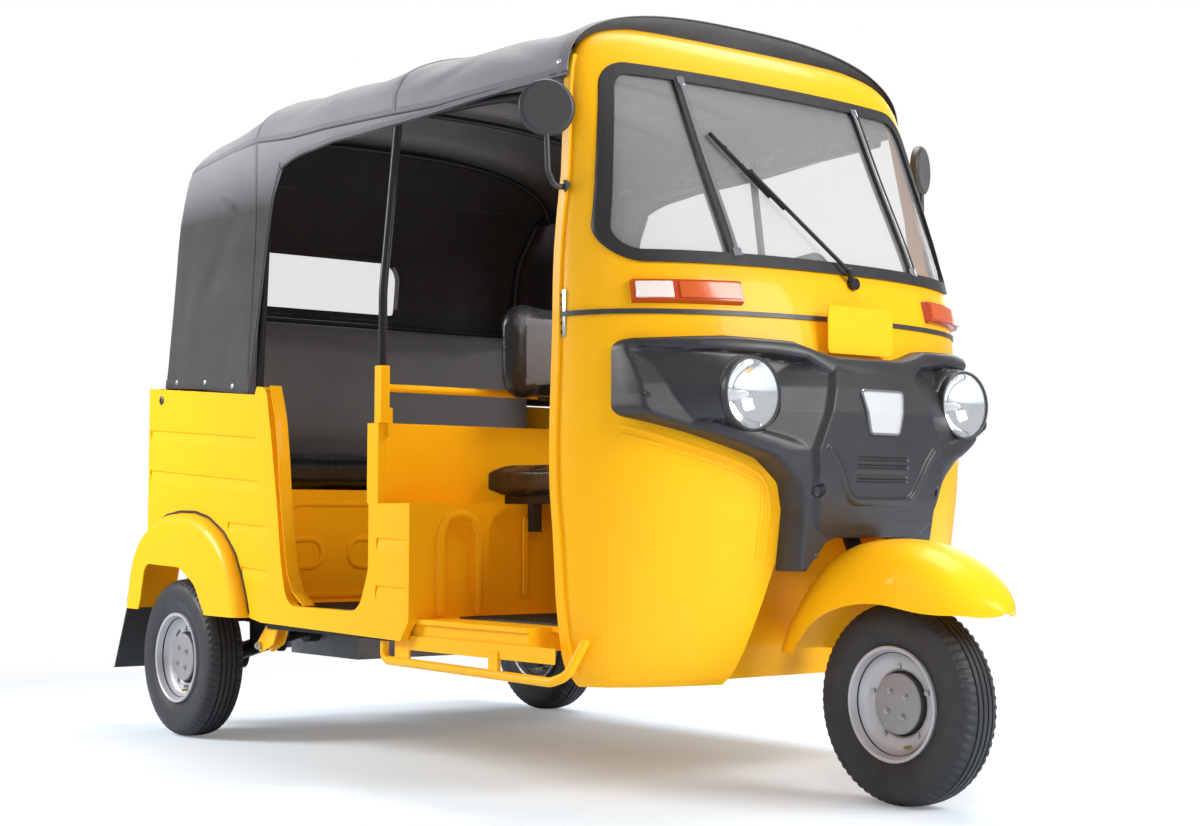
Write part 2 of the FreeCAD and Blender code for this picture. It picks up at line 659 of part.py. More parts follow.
def make_rear_axle(s):
    """One side's trailing arm with its stub axle, pivot tube and half shaft from the engine."""
    px, py, pz = ARM_PIVOT
    wheel_y = REAR_TRACK / 2
    hub_y = wheel_y - TYRE_HALF_W - 8
    pivot = rod((px, s * (py - 32 + GAP), pz), (px, s * (py + 32 - GAP), pz), 20)
    arm = rod((px, s * py, pz), (REAR_AXLE_X, s * (py + 34), TYRE_R), 22)
    boss = rod((REAR_AXLE_X, s * (py - 10), TYRE_R), (REAR_AXLE_X, s * hub_y, TYRE_R), 36)
    plate = rod((REAR_AXLE_X, s * hub_y, TYRE_R), (REAR_AXLE_X, s * (hub_y + 12), TYRE_R), 82)
    stub_end = wheel_y + REAR_DISC_Y + 2 - GAP
    stub = rod((REAR_AXLE_X, s * hub_y, TYRE_R), (REAR_AXLE_X, s * stub_end, TYRE_R), AXLE_R)
    joint_z = TYRE_R + 60
    joint_y = ENGINE_HALF_W + GAP
    joint = rod((REAR_AXLE_X, s * joint_y, joint_z), (REAR_AXLE_X, s * (ENGINE_HALF_W + 34), joint_z), 34)
    shaft = rod((REAR_AXLE_X, s * (ENGINE_HALF_W + 20), joint_z), (REAR_AXLE_X, s * (py - 5), TYRE_R), 14)
    return pivot.fuse([arm, boss, plate, stub, joint, shaft])


ENGINE_HALF_W = 215.0
ENGINE_REAR_X = -1080.0
ENGINE_FRONT_X = -722.0
ENGINE_BOTTOM_Z = 196.0
ENGINE_TOP_Z = 520.0


def make_engine():
    top = FLOOR_TOP - FLOOR_WALL
    block = box(ENGINE_REAR_X, ENGINE_FRONT_X, -ENGINE_HALF_W, ENGINE_HALF_W, ENGINE_BOTTOM_Z, ENGINE_TOP_Z)
    block = block.cut(box(-1061, -1019, -400, 400, top - 51, top + 1))
    return block


def make_silencer():
    """The exhaust silencer across the back, with its pipe from the engine."""
    drum = rod((-1150, -190, 262), (-1150, 150, 262), 58)
    pipe_in = rod((ENGINE_REAR_X - GAP, -120, 262), (-1150, -120, 262), 18)
    return drum.fuse(pipe_in)


# The hood's stations: x, crown height, half width, drop from crown to eave, squareness
HOOD_STATIONS = [(ROOF_EDGE_X, 1692, 510, 175, 2.6), (530, 1694, 516, 175, 2.6), (400, 1688, 535, 170, 2.6),
                 (300, 1690, 548, 170, 2.6), (150, 1693, 562, 170, 2.6), (0, 1698, 576, 170, 2.6),
                 (-150, 1692, 583, 170, 2.6), (-300, 1694, 590, 170, 2.6), (-450, 1696, 596, 172, 2.6),
                 (-590, 1704, 600, 176, 2.55), (-690, 1695, 602, 182, 2.4), (-820, 1672, 604, 180, 2.4),
                 (-950, 1660, 604, 185, 2.35), (-1050, 1640, 603, 195, 2.3), (-1300, 1600, 602, 200, 2.3)]


def hood_section(station, grow):
    x, crown, half_w, drop, power = station
    sill = 700.0
    arc = [V(x, s, crown - drop + a) for a, s in superellipse(drop + grow, half_w + grow, power)]
    curve = Part.BSplineCurve()
    curve.interpolate(arc)
    flare = 14.0
    corners = [arc[-1], V(x, arc[-1].y + flare, sill), V(x, arc[0].y - flare, sill), arc[0]]
    lines = [Part.LineSegment(a, b).toShape() for a, b in zip(corners, corners[1:])]
    return Part.Wire([curve.toShape()] + lines)


def hood_solid(grow):
    """Everything under the hood's skin, grown outward by the given amount."""
    g = grow
    body = Part.makeLoft([hood_section(station, g) for station in HOOD_STATIONS], True, False)
    rear = prism_y([(ROOF_EDGE_X, 720), (BODY_REAR_X + 6 - g, 720), (BODY_REAR_X + 6 - g, 900),
                    (-1092 - g, 1370, 300), (-1046 - g, 1500, 120), (-956 - g, 1640 + g, 90), (-850, 1780),
                    (ROOF_EDGE_X, 1780)], -800, 800)
    plan = prism_z([(ROOF_EDGE_X + 1, -700), (ROOF_EDGE_X + 1, 700), (-900, 700), (-1080, 624 + g, 80),
                    (BODY_REAR_X - 8 - g, 576 + g, 70), (BODY_REAR_X - 8 - g, -576 - g, 70),
                    (-1080, -624 - g, 80), (-900, -700)], 600, 1800)
    return body.common(rear).common(plan)


def make_canopy():
    """The fabric hood: an arched roof and rear wall, open ahead and at both sides, cut at its seams."""
    inner = hood_solid(-ROOF_FABRIC).fuse(box(ROOF_EDGE_X - 20, ROOF_EDGE_X + 20, -400, 400, 800, 1640))
    skin = hood_solid(0).cut(inner)
    side = prism_y([(-640, 600), (-574, 1290, 200), (-540, 1420, 60), (-290, 1458, 200), (10, 1490, 300),
                    (250, 1506, 300), (900, 1512), (900, 600)], -900, 900)
    bottom = prism_y([(-1400, 600), (-1400, 934), (BODY_REAR_X, 934), (-560, 888), (-560, 600)], -900, 900)
    window = prism_x([(-380, 1165, 24), (150, 1165, 24), (150, 1345, 70), (-380, 1345, 70)], -1300, -1000)
    skin = skin.cut(side).cut(bottom).cut(window).cut(nose(GAP))
    seams = [box(0, GAP, -900, 900, 1300, 1900), box(-620, -620 + GAP, -900, 900, 1400, 1900),
             box(-1400, -540, -900, 900, 1420, 1420 + GAP)]
    for s in (-1, 1):
        seams.append(box(-1030, -1030 + GAP, min(s * 400, s * 900), max(s * 400, s * 900), 600, 1420))
        seams.append(box(-1400, -1030, s * 520, s * 520 + GAP, 600, 1420))
    return skin.cut(seams)


def make_rear_window():
    band = hood_solid(-0.6).cut(hood_solid(-3.2))
    return band.common(prism_x([(-392 + 13, 1166, 24), (149, 1166, 24), (149, 1344, 70), (-379, 1344, 70)],
                               -1300, -1000))


# The hood frame's right eave rail, from front to back
RAIL_LINE = [(540, -470, 1492), (300, -527, 1500), (0, -558, 1504), (-560, -580, 1508), (-990, -580, 1480)]


def rail_point(x):
    """The right eave rail's centre at the given x."""
    for ahead, behind in zip(RAIL_LINE, RAIL_LINE[1:]):
        if behind[0] <= x <= ahead[0]:
            t = (x - ahead[0]) / (behind[0] - ahead[0])
            return tuple(ahead[i] + t * (behind[i] - ahead[i]) for i in range(3))
    raise ValueError("past the rail's ends")


def hoop(x, crown, half_w, r):
    """One cross hoop under the hood, with its ends turned down onto the eave rails."""
    level = crown - EAVE_DROP
    points = [V(x, s, level + a) for a, s in superellipse(EAVE_DROP - 16, half_w - 16, ARCH_POWER, 13)]
    foot = rail_point(x)
    points = [V(x, foot[1], foot[2])] + points[1:-1] + [V(x, -foot[1], foot[2])]
    curve = Part.BSplineCurve()
    curve.interpolate(points)
    wire = Part.Wire(curve.toShape())
    start_dir = curve.tangent(curve.FirstParameter)[0]
    circle = Part.Wire(Part.Circle(points[0], start_dir, r).toShape())
    return wire.makePipeShell([circle], True, True)


def make_canopy_frame():
    """The hood's black tube frame: eave rails, cross hoops, rear corner posts and centre posts."""
    hoops = [hoop(300, 1686, 548, 8), hoop(0, 1692, 576, 8), hoop(-300, 1688, 590, 8),
             hoop(-600, 1690, 590, 8), hoop(-930, 1644, 588, 8)]
    rear_bar = rod((-1094, -560, 1140), (-1094, 560, 1140), 8)
    parts = []
    for s in (-1, 1):
        rail_line = [(x, -s * y, z) for x, y, z in RAIL_LINE]
        rear_line = [(-1122, s * 558, 938), (-1066, s * 562, 1360), (-990, s * 580, 1480)]
        post_line = [(PARTITION_X + 14, s * 608, POST_TOP_Z + GAP), (PARTITION_X + 14, s * 608, 1100),
                     (PARTITION_X, s * 562, 1500)]
        rail_space = pipe(rail_line, 10 + GAP, 400)
        parts.append(pipe(rail_line, 10, 400))
        parts.append(rod((-600, s * 588, 906), (-578, s * 578, 1508), 10).cut(rail_space))
        parts.append(pipe(rear_line, 10, 200).cut(rail_space))
        parts.append(pipe(post_line, 10, 300).cut(rail_space))
        hoops = [h.cut(rail_space) for h in hoops]
        rear_bar = rear_bar.cut(pipe(rear_line, 10 + GAP, 200))
    corners = [rod((-600, s * 588, 906), (-578, s * 578, 1508), 10 + GAP) for s in (-1, 1)]
    hoops = [h.cut(corners) for h in hoops]
    middles = [max(h.Solids, key=lambda solid: solid.Volume) for h in hoops + [rear_bar]]
    rest = [max(p.Solids, key=lambda solid: solid.Volume) for p in parts]
    return Part.makeCompound(rest + middles)


def make_wheel(x, y, side, disc_y, front):
    """A tyre and its pressed rim. side is the outward direction along Y."""
    tyre = revolve_y(
        [(BEAD_R, -RIM_HALF_W + 6), (RIM_FLANGE_R - 4, -RIM_HALF_W - 2), (TYRE_R - 44, -TYRE_HALF_W),
         (TYRE_R - 8, -TREAD_HALF_W - 4), (TYRE_R, -TREAD_HALF_W / 2), (TYRE_R, TREAD_HALF_W / 2),
         (TYRE_R - 8, TREAD_HALF_W + 4), (TYRE_R - 44, TYRE_HALF_W), (RIM_FLANGE_R - 4, RIM_HALF_W + 2),
         (BEAD_R, RIM_HALF_W - 6)],
        x, y, TYRE_R)
    barrel = revolve_y(
        [(BEAD_R, -RIM_HALF_W + 6), (RIM_FLANGE_R - 4, -RIM_HALF_W - 2), (RIM_FLANGE_R, -RIM_HALF_W - 4),
         (RIM_FLANGE_R - 2, -RIM_HALF_W - 8), (BEAD_R - RIM_WALL, -RIM_HALF_W + 2),
         (BEAD_R - RIM_WALL, RIM_HALF_W - 2), (RIM_FLANGE_R - 2, RIM_HALF_W + 8),
         (RIM_FLANGE_R, RIM_HALF_W + 4), (RIM_FLANGE_R - 4, RIM_HALF_W + 2),
         (BEAD_R, RIM_HALF_W - 6)], x, y, TYRE_R)
    d = side * disc_y
    bore_r = AXLE_R + AXLE_FIT
    edge_r = BEAD_R - 1
    disc = revolve_y([(bore_r, d - 4), (bore_r, d + 4), (edge_r, d + 4), (edge_r, d - 4)], x, y, TYRE_R)
    rim = barrel.fuse(disc)
    if front:
        drum = revolve_y([(bore_r, d), (bore_r, d - side * 30), (DRUM_R, d - side * 30),
                          (DRUM_R + 14, d - side * 26), (DRUM_R + 14, d)], x, y, TYRE_R)
        cap = revolve_y([(0, d + side * 2), (DRUM_R, d + side * 2), (DRUM_R, d + side * 20),
                         (DRUM_R - 8, d + side * 24), (0, d + side * 26)], x, y, TYRE_R)
        rim = rim.fuse([drum, cap])
        studs = [(24.0, 4, 26, 12.0)]
    else:
        hub = revolve_y([(0, d + side * 2), (HUB_R, d + side * 2), (HUB_R - 4, d + side * 22),
                         (0, d + side * 26)], x, y, TYRE_R)
        back = revolve_y([(bore_r, d), (bore_r, d - side * 40), (64, d - side * 40), (64, d)], x, y, TYRE_R)
        rim = rim.fuse([hub, back])
        studs = [(54.0, 5, 4, 14.0)]
    for ring_r, count, base, length in studs:
        for i in range(count):
            angle = 2 * math.pi * (i + 0.5) / count
            at = (x + ring_r * math.cos(angle), y + d + side * (base - 2), TYRE_R + ring_r * math.sin(angle))
            tip = (at[0], at[1] + side * length, at[2])
            rim = rim.fuse(rod(at, tip, STUD_R))
    bore = rod((x, y - side * 80, TYRE_R), (x, y + side * (disc_y + 2), TYRE_R), bore_r)
    rim = rim.cut(bore)
    return tyre, rim


def steer_point(z, across=0.0, ahead=0.0):
    """A point at height z on the steering axis, moved across and square to it ahead."""
    t = math.tan(math.radians(CASTER_DEG))
    return (FRONT_AXLE_X - (z - TYRE_R) * t + ahead, across, z)


def make_mudguard():
    """The front mudguard: a crowned hood along the wheel, with its skirts, as one thin shell."""
    x = FRONT_AXLE_X
    # Crown (x, z), then the skirt edge (x, z, half width) under it
    rows = [((-310, 302), (-232, 298, 96)), ((-262, 392), (-196, 342, 102)), ((-205, 466), (-140, 381, 106)),
            ((-120, 524), (-62, 405, 108)), ((-20, 541), (30, 410, 108)), ((80, 533), (112, 399, 106)),
            ((162, 500), (176, 395, 97)), ((222, 454), (222, 394, 72)), ((262, 402), (258, 396, 14))]

    def surface(inset):
        grid = []
        for (cx, cz), (ex, ez, half) in rows:
            row = []
            count = 15
            for i in range(count):
                t = 2 * i / (count - 1) - 1
                angle = t * math.pi / 2
                side = math.copysign(abs(math.sin(angle)) ** 0.80, t)
                rise = max(0.0, math.cos(angle)) ** 0.80
                px = x + ex + (cx - ex) * rise
                pz = ez + (cz - ez) * rise
                shrink = 1 - inset / half
                centre_pull = inset * rise
                lean = (cx - ex) / max(1.0, math.hypot(cx - ex, cz - ez))
                lift = (cz - ez) / max(1.0, math.hypot(cx - ex, cz - ez))
                row.append(V(px - centre_pull * lean, half * shrink * side, pz - centre_pull * lift))
            grid.append(row)
        face = Part.BSplineSurface()
        face.interpolate(grid)
        return face

    outer = surface(0)
    inner = surface(MUDGUARD_WALL)
    faces = [outer.toShape(), inner.toShape()]
    for kind, at in (("u", 0.0), ("u", 1.0), ("v", 0.0), ("v", 1.0)):
        first = outer.uIso(at) if kind == "u" else outer.vIso(at)
        second = inner.uIso(at) if kind == "u" else inner.vIso(at)
        faces.append(Part.makeRuledSurface(first.toShape(), second.toShape()))
    shell = Part.makeShell(faces)
    shell.sewShape()
    solid = Part.makeSolid(shell)
    if solid.Volume < 0:
        solid.reverse()
    return solid.cut(rod(steer_point(420), steer_point(620), COLUMN_R + GAP))


def make_fork():
    """The single arm on the wheel's left: its crown under the mudguard, arm and stub axle."""
    top = steer_point(482)
    crown = steer_point(450)
    arm_top = (crown[0] + 6, FORK_Y, 446)
    axle = (FRONT_AXLE_X, FORK_Y, TYRE_R)
    column = rod(top, crown, COLUMN_R)
    body = column.fuse(rod(crown, arm_top, 15))
    body = body.fuse(Part.makeSphere(15, V(*crown)))
    body = body.fuse(Part.makeSphere(13, V(*arm_top)))
    body = body.fuse(rod(arm_top, (axle[0] - 66, FORK_Y, 250), 13))
    body = body.fuse(Part.makeSphere(13, V(axle[0] - 66, FORK_Y, 250)))
    body = body.fuse(rod((axle[0] - 66, FORK_Y, 250), (axle[0], FORK_Y, TYRE_R), 13))
    body = body.fuse(rod((axle[0], FORK_Y - 22, axle[2]), (axle[0], FORK_Y + 10, axle[2]), 24))
    return body.fuse(rod((axle[0], FORK_Y, axle[2]), (axle[0], -FRONT_DISC_Y, axle[2]), AXLE_R))


def make_steering_column():
    """The column through the head tube, from the fork's crown up to the handlebar's clamp."""
    low = steer_point(482)
    high = steer_point(HANDLE_Z)
    return rod(low, high, COLUMN_R)


def make_handlebar():
    """A swept bar with two grips, its clamp round the column's top."""
    hub_x = steer_point(HANDLE_Z)[0]
    half = HANDLE_HALF_W
    end_x = hub_x - 80
    bend_x = hub_x - 52
    end_z = HANDLE_Z + 16
    line = [(end_x, -half, end_z), (bend_x, -158, HANDLE_Z + 28), (hub_x, -58, HANDLE_Z + 12),
            (hub_x, 58, HANDLE_Z + 12), (bend_x, 158, HANDLE_Z + 28), (end_x, half, end_z)]
    bar = pipe(line, HANDLE_R, 56)
    clamp = rod(steer_point(HANDLE_Z), steer_point(HANDLE_Z + 34), 26)
    grips = [rod((end_x, s * half, end_z), (bend_x - 5, s * 176, HANDLE_Z + 26), 17) for s in (-1, 1)]
    return clamp.fuse([bar] + grips)


def make_head_tube():
    """The fixed tube that carries the column, with its bridge to the cab's inner wall."""
    tube = rod(steer_point(640), steer_point(900), HEAD_TUBE_R)
    low = steer_point(600)
    high = steer_point(940)
    tube = tube.cut(rod(low, high, COLUMN_R + 0.5))
    bridge = box(steer_point(780)[0], nose_x(0, 780) - WALL - GAP, -60, 60, 760, 800)
    inside = nose(-WALL - GAP)
    bridge = bridge.common(inside).cut(rod(low, high, HEAD_TUBE_R - 2))
    return tube.fuse(bridge)


def make_wheelhouse():
    """The inner arch that closes the cab off from the front wheel."""
    def block(grow, back):
        g = grow
        return prism_x([(-ARCH_HALF_W_LOW - 14 - g, 240), (ARCH_HALF_W_LOW + 14 + g, 240),
                        (ARCH_HALF_W_LOW + 14 + g, 520, 60), (ARCH_HALF_W_LOW - 30 + g, 640 + g, 60),
                        (-ARCH_HALF_W_LOW + 30 - g, 640 + g, 60), (-ARCH_HALF_W_LOW - 14 - g, 520, 60)],
                       back, 1000)
    inside_cab = nose(-WALL - GAP)
    shell = block(LINER_WALL, ARCH_BACK_X - LINER_WALL).cut(block(0, ARCH_BACK_X)).common(inside_cab)
    hole = rod(steer_point(500), steer_point(950), HEAD_TUBE_R + GAP)
    return shell.cut(hole)


def make_dashboard():
    """The shelf under the windscreen, with a round instrument pod on it."""
    inside = nose(-WALL - GAP)
    shelf = inside.common(box(748, 1100, -430, 430, 1062, 1082))
    pod = rod((742, 0, 1106), (800, 0, 1112), 46).common(inside)
    pod = pod.cut(box(600, 900, -100, 100, 1000, 1070))
    return shelf.fuse(pod)


def make_driver_seat():
    bottom = DRIVER_SEAT_TOP_Z - DRIVER_SEAT_THICK
    half = DRIVER_SEAT_HALF_W
    outline = [(54, bottom, 12), (418, bottom, 16), (422, DRIVER_SEAT_TOP_Z - 4, 24),
               (54, DRIVER_SEAT_TOP_Z, 18)]
    cushion = prism_y(outline, -half, half)
    tray = box(60, 400, -half + 30, half - 30, SHELF_Z + GAP, bottom - GAP)
    leg = box(330, 370, -120, 120, FLOOR_TOP + GAP, SHELF_Z + 2)
    catch = box(LOCKER_X + 4, LOCKER_X + 26, -half + 30, -half + 54, 548, bottom - GAP)
    return cushion, tray.fuse([leg, catch])


def make_driver_backrest():
    """The upright pad on the cross bar, with the two short arms that carry it."""
    pad = prism_x([(-298, 866, 60), (298, 866, 60), (298, 1082, 60), (-298, 1082, 60)], 50, 96)
    rear_edges = [e for e in pad.Edges if all(abs(v.X - 96) < 0.01 for v in e.Vertexes)]
    return pad.makeFillet(16, rear_edges)


def make_backrest_arms():
    arms = []
    for s in (-1, 1):
        arms.append(box(PARTITION_X + 23 + GAP, 50, s * 160 - 12, s * 160 + 12, 864, 900))
    return Part.makeCompound(arms)


def make_side_guard():
    """The right step: its flat bar, the tube below it up to the cab, and the stay between them."""
    y = -BODY_HALF_W + 24
    sill_z = FLOOR_TOP - FLOOR_WALL - SILL_DEPTH - GAP
    bar = box(118, 650, -597, -592 - GAP, 286, 318)
    guard = pipe([(16, y, sill_z), (16, y, 258), (330, y, 254), (640, y, 250), (676, y + 14, 264),
                  (690, y + 52, 336)], 10, 36)
    stay = box(428, 462, -601, -592 - GAP, 252, 300)
    link = box(60, 118, -597, -592 - GAP, 250, 318)
    return bar.fuse([guard, stay, link]).cut(nose(7 + GAP)).common(box(-100, 900, -700, 0, 200, 336))


def make_mirror():
    """The right mirror: a round head on a bent stalk from the cab's edge."""
    cx, cy, cz = 588.0, -574.0, 1432.0
    turn = math.radians(26)
    out = V(math.cos(turn), -math.sin(turn), 0)
    head = Part.makeCylinder(60, 22, V(cx, cy, cz) - out * 14, out)
    edges = [e for e in head.Edges if e.Curve.TypeId == "Part::GeomCircle" and e.Length > 300]
    head = head.makeFillet(9, edges)
    stalk = pipe([(604, -532, 1268), (600, -562, 1266), (590, -572, 1300), (588, -574, 1376)], 6, 16)
    foot = rod((612, -519, 1268), (603, -540, 1268), 14)
    return head.fuse([stalk, foot]).cut(nose(7 + GAP))


def make_mud_flap():
    x = REAR_AXLE_X
    back = x + ARCH_LINE[0][0] - GAP
    outline = [(back, 356), (back, 330), (x - 368, 158), (x - 373, 158), (back - 5, 332), (back - 5, 356)]
    return prism_y(outline, -FENDER_HALF_W + 12, -FENDER_INNER_Y - 8)


def make_rear_bumper():
    y = 470
    bar = pipe([(-1130, -y, 300), (-1250, -y, 300), (-1290, -y + 50, 300), (-1290, y - 50, 300),
                (-1250, y, 300), (-1130, y, 300)], 14, 40)
    for s in (-1, 1):
        ends = sorted((s * (RAIL_Y + RAIL_HALF_W + GAP), s * y))
        bar = bar.fuse(box(-1140, -1116, ends[0], ends[1], 286, 314))
    return bar


def make_tail_lamps():
    lamp = prism_x([(-560, 640, 14), (-440, 640, 14), (-440, 760, 14), (-560, 760, 14)], BODY_REAR_X - 26,
                   BODY_REAR_X - GAP)
    return both(lamp)


def make_rear_plate():
    outline = [(-130, 838, 6), (130, 838, 6), (130, 910, 6), (-130, 910, 6)]
    return prism_x(outline, BODY_REAR_X - 5, BODY_REAR_X - GAP)


def make_wiper():
    """The single wiper: a pivot on the scuttle, its arm and the blade against the glass."""
    def over(y, z, lift):
        return (nose_x(y, z) + lift, y, z)
    pivot = over(30, 1083, 6)
    elbow = over(12, 1108, 22)
    tip = over(-170, 1318, 18)
    arm = rod(pivot, elbow, 7).fuse(rod(elbow, tip, 4.5))
    boss = rod(over(30, 1083, GAP + 0.5), over(30, 1083, 16), 13)
    blade = rod(over(-102, 1240, 9), over(-236, 1400, 9), 4)
    link = rod(over(-169, 1320, 9), over(-170, 1318, 22), 5)
    wiper = boss.fuse([arm, blade, link, Part.makeSphere(8, V(*elbow))])
    return wiper.cut(nose(GAP))


def build():
    nodes = {}
    nodes["cab_shell_upper"], nodes["cab_shell_lower"] = make_cab_shell()
    nodes["windscreen_glass"], nodes["windscreen_seal"] = make_windscreen()
    nodes["belt_trim"] = make_belt_trim()
    nodes["front_indicators"] = make_indicators()
    nodes["face_panel"] = make_fascia()
    nodes["headlamps"] = make_headlamps()
    nodes["plates"] = Part.makeCompound([make_front_plate(), make_rear_plate()])
    nodes["wiper"] = make_wiper()
    nodes["dashboard"] = make_dashboard()
    nodes["wheelhouse"] = make_wheelhouse()
    nodes["steering_head"] = make_head_tube()
    nodes["rear_arches"] = both(make_fender())
    nodes["side_panels"] = both(make_side_panel())
    nodes["rear_panel"] = make_rear_panel()
    nodes["engine_hatch"] = make_engine_hatch()
    nodes["seat_base"] = make_seat_base()
    nodes["rear_cushion"] = make_rear_cushion()
    nodes["rear_backrest"] = make_rear_backrest()
    nodes["partition"] = make_partition().fuse(make_partition_rail())
    nodes["floor"] = make_floor()
    nodes["chassis"] = make_chassis()
    nodes["rear_arms"] = Part.makeCompound([make_rear_axle(-1), make_rear_axle(1)])
    nodes["engine_block"] = make_engine()
    nodes["silencer"] = make_silencer()
    nodes["canopy"] = make_canopy()
    nodes["rear_window"] = make_rear_window()
    nodes["canopy_frame"] = make_canopy_frame()
    nodes["driver_seat"], seat_base = make_driver_seat()
    nodes["driver_seat_base"] = Part.makeCompound([seat_base, make_backrest_arms()])
    nodes["driver_backrest"] = make_driver_backrest()
    nodes["side_guards"] = both(make_side_guard())
    nodes["mirrors"] = both(make_mirror())
    nodes["mud_flaps"] = both(make_mud_flap())
    nodes["rear_bumper"] = make_rear_bumper()
    nodes["tail_lamps"] = make_tail_lamps()
    nodes["handlebar"] = make_steering_column().fuse(make_handlebar())
    nodes["front_fork"] = make_fork()
    nodes["front_mudguard"] = make_mudguard()
    nodes["front_tyre"], nodes["front_rim"] = make_wheel(FRONT_AXLE_X, 0.0, -1, FRONT_DISC_Y, True)
    for name, s in (("right", -1), ("left", 1)):
        tyre, rim = make_wheel(REAR_AXLE_X, s * REAR_TRACK / 2, s, REAR_DISC_Y, False)
        nodes["rear_tyre_" + name] = tyre
        nodes["rear_rim_" + name] = rim
    return nodes


if __name__ == "__main__":
    os.makedirs("parts", exist_ok=True)
    for name, shape in build().items():
        solids = shape.Solids
        if not solids:
            raise ValueError(name + " has no solid")
        out = solids[0] if len(solids) == 1 else Part.makeCompound(solids)
        out.exportStep("parts/" + name + ".step")
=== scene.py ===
import json
import math
import bmesh
import bpy
import numpy as np
from mathutils import Matrix, Vector
from mathutils.bvhtree import BVHTree


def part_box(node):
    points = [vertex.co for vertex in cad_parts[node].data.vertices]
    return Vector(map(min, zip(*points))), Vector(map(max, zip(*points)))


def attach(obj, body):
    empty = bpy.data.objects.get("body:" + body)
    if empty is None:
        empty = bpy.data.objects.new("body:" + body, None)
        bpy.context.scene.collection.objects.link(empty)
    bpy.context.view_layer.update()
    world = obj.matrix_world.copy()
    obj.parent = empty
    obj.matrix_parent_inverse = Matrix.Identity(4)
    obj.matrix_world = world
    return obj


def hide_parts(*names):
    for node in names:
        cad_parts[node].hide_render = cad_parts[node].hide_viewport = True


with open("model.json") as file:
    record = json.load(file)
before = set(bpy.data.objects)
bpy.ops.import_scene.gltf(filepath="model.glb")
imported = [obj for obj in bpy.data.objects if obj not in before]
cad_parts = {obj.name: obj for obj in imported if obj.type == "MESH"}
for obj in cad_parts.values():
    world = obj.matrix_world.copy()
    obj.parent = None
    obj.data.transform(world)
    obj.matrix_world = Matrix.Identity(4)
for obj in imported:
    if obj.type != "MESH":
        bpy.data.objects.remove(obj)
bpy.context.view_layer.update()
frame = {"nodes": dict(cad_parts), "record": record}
NODES = frame["nodes"]
AHEAD = (1, 0, 0)
SIDES = (-1, 1)
WHITE = (1, 1, 1, 1)

# Camera, read from the photograph
CAMERA_AT = (3.742, -2.947, 0.588)
CAMERA_YAW = 2.46803
CAMERA_PITCH = 0.05294
CAMERA_ROLL = -0.003669
SENSOR_MM = 36.0
LENS_MM = 57.6


# Materials

# The part of the noise's values that is stretched over a look's whole range
NOISE_RANGE = (0.3, 0.7)


def feed(made, sources):
    """Sets a node's inputs, each from a value or from another node's socket."""
    for key, source in sources.items():
        if isinstance(source, bpy.types.NodeSocket):
            made.id_data.links.new(source, made.inputs[key])
        else:
            made.inputs[key].default_value = source
    return made


def add(owner, kind, sources=None, **settings):
    """A new node in a material or in the world."""
    made = owner.node_tree.nodes.new(kind)
    for name, value in settings.items():
        setattr(made, name, value)
    return feed(made, sources or {})


def dress(material, sources):
    feed(material.node_tree.nodes["Principled BSDF"], sources)


def principled(name, color, roughness=0.5, metallic=0.0, coat=0.0, specular=0.5):
    material = bpy.data.materials.new(name)
    material.use_nodes = True
    dress(material, {"Base Color": (*color, 1), "Roughness": roughness, "Metallic": metallic,
                     "Coat Weight": coat, "Coat Roughness": 0.06, "Specular IOR Level": specular})
    return material


def noise(material, scale, detail=4.0, stretch=(1, 1, 1), rough=0.5):
    """Noise over the object's own coordinates, in metres."""
    place = add(material, "ShaderNodeTexCoord").outputs["Object"]
    mapped = add(material, "ShaderNodeMapping", {"Vector": place, "Scale": stretch}).outputs["Vector"]
    made = add(material, "ShaderNodeTexNoise",
               {"Vector": mapped, "Scale": scale, "Detail": detail, "Roughness": rough})
    return made.outputs["Fac"]


def ramp(material, source, low, high, a, b):
    """Maps source, from low to high, onto a to b."""
    made = add(material, "ShaderNodeMapRange",
               {"Value": source, "From Min": low, "From Max": high, "To Min": a, "To Max": b})
    return made.outputs["Result"]


def mixed(material, amount, first, second):
    """The first colour at 0 and the second at 1."""
    return add(material, "ShaderNodeMix", {0: amount, 6: first, 7: second}, data_type="RGBA").outputs[2]


def calc(owner, operation, *terms):
    return add(owner, "ShaderNodeMath", dict(enumerate(terms)), operation=operation).outputs[0]


def vary_roughness(material, scale, low, high):
    dress(material, {"Roughness": ramp(material, noise(material, scale), *NOISE_RANGE, low, high)})


def bump(material, height, distance, strength):
    made = add(material, "ShaderNodeBump", {"Height": height, "Distance": distance, "Strength": strength})
    dress(material, {"Normal": made.outputs["Normal"]})


def grained(material, patches, low, high, grains, detail, distance, strength):
    """Adds patches of roughness from low to high, and a grain of the given depth."""
    vary_roughness(material, patches, low, high)
    bump(material, noise(material, grains, detail), distance, strength)
    return material


def make_paint(name, color, coat=0.14):
    plain = principled(name, color, 0.40, 0.0, coat, 0.14)
    return grained(plain, 3.0, 0.32, 0.42, 420.0, 2.0, 0.00002, 0.35)


def make_plastic(name, color, low, high):
    return grained(principled(name, color, low), 8.0, low, high, 900.0, 2.0, 0.00004, 0.5)


def make_rubber(name, color):
    plain = principled(name, color, 0.6, specular=0.4)
    return grained(plain, 24.0, 0.46, 0.66, 700.0, 3.0, 0.00008, 0.6)


def make_metal(name, color, low, high, metallic=1.0):
    plain = principled(name, color, low, metallic)
    return grained(plain, 30.0, low, high, 500.0, 2.0, 0.00003, 0.4)


def make_glass(name, tint, roughness, clear):
    """Thin clear sheet: mostly transparent, with a glossy surface."""
    material = principled(name, tint, roughness)
    dress(material, {"Alpha": 1.0 - clear})
    vary_roughness(material, 2.0, roughness, roughness + 0.03)
    return material


def make_lens(name, color, roughness, coat):
    return principled(name, color, roughness, coat=coat)


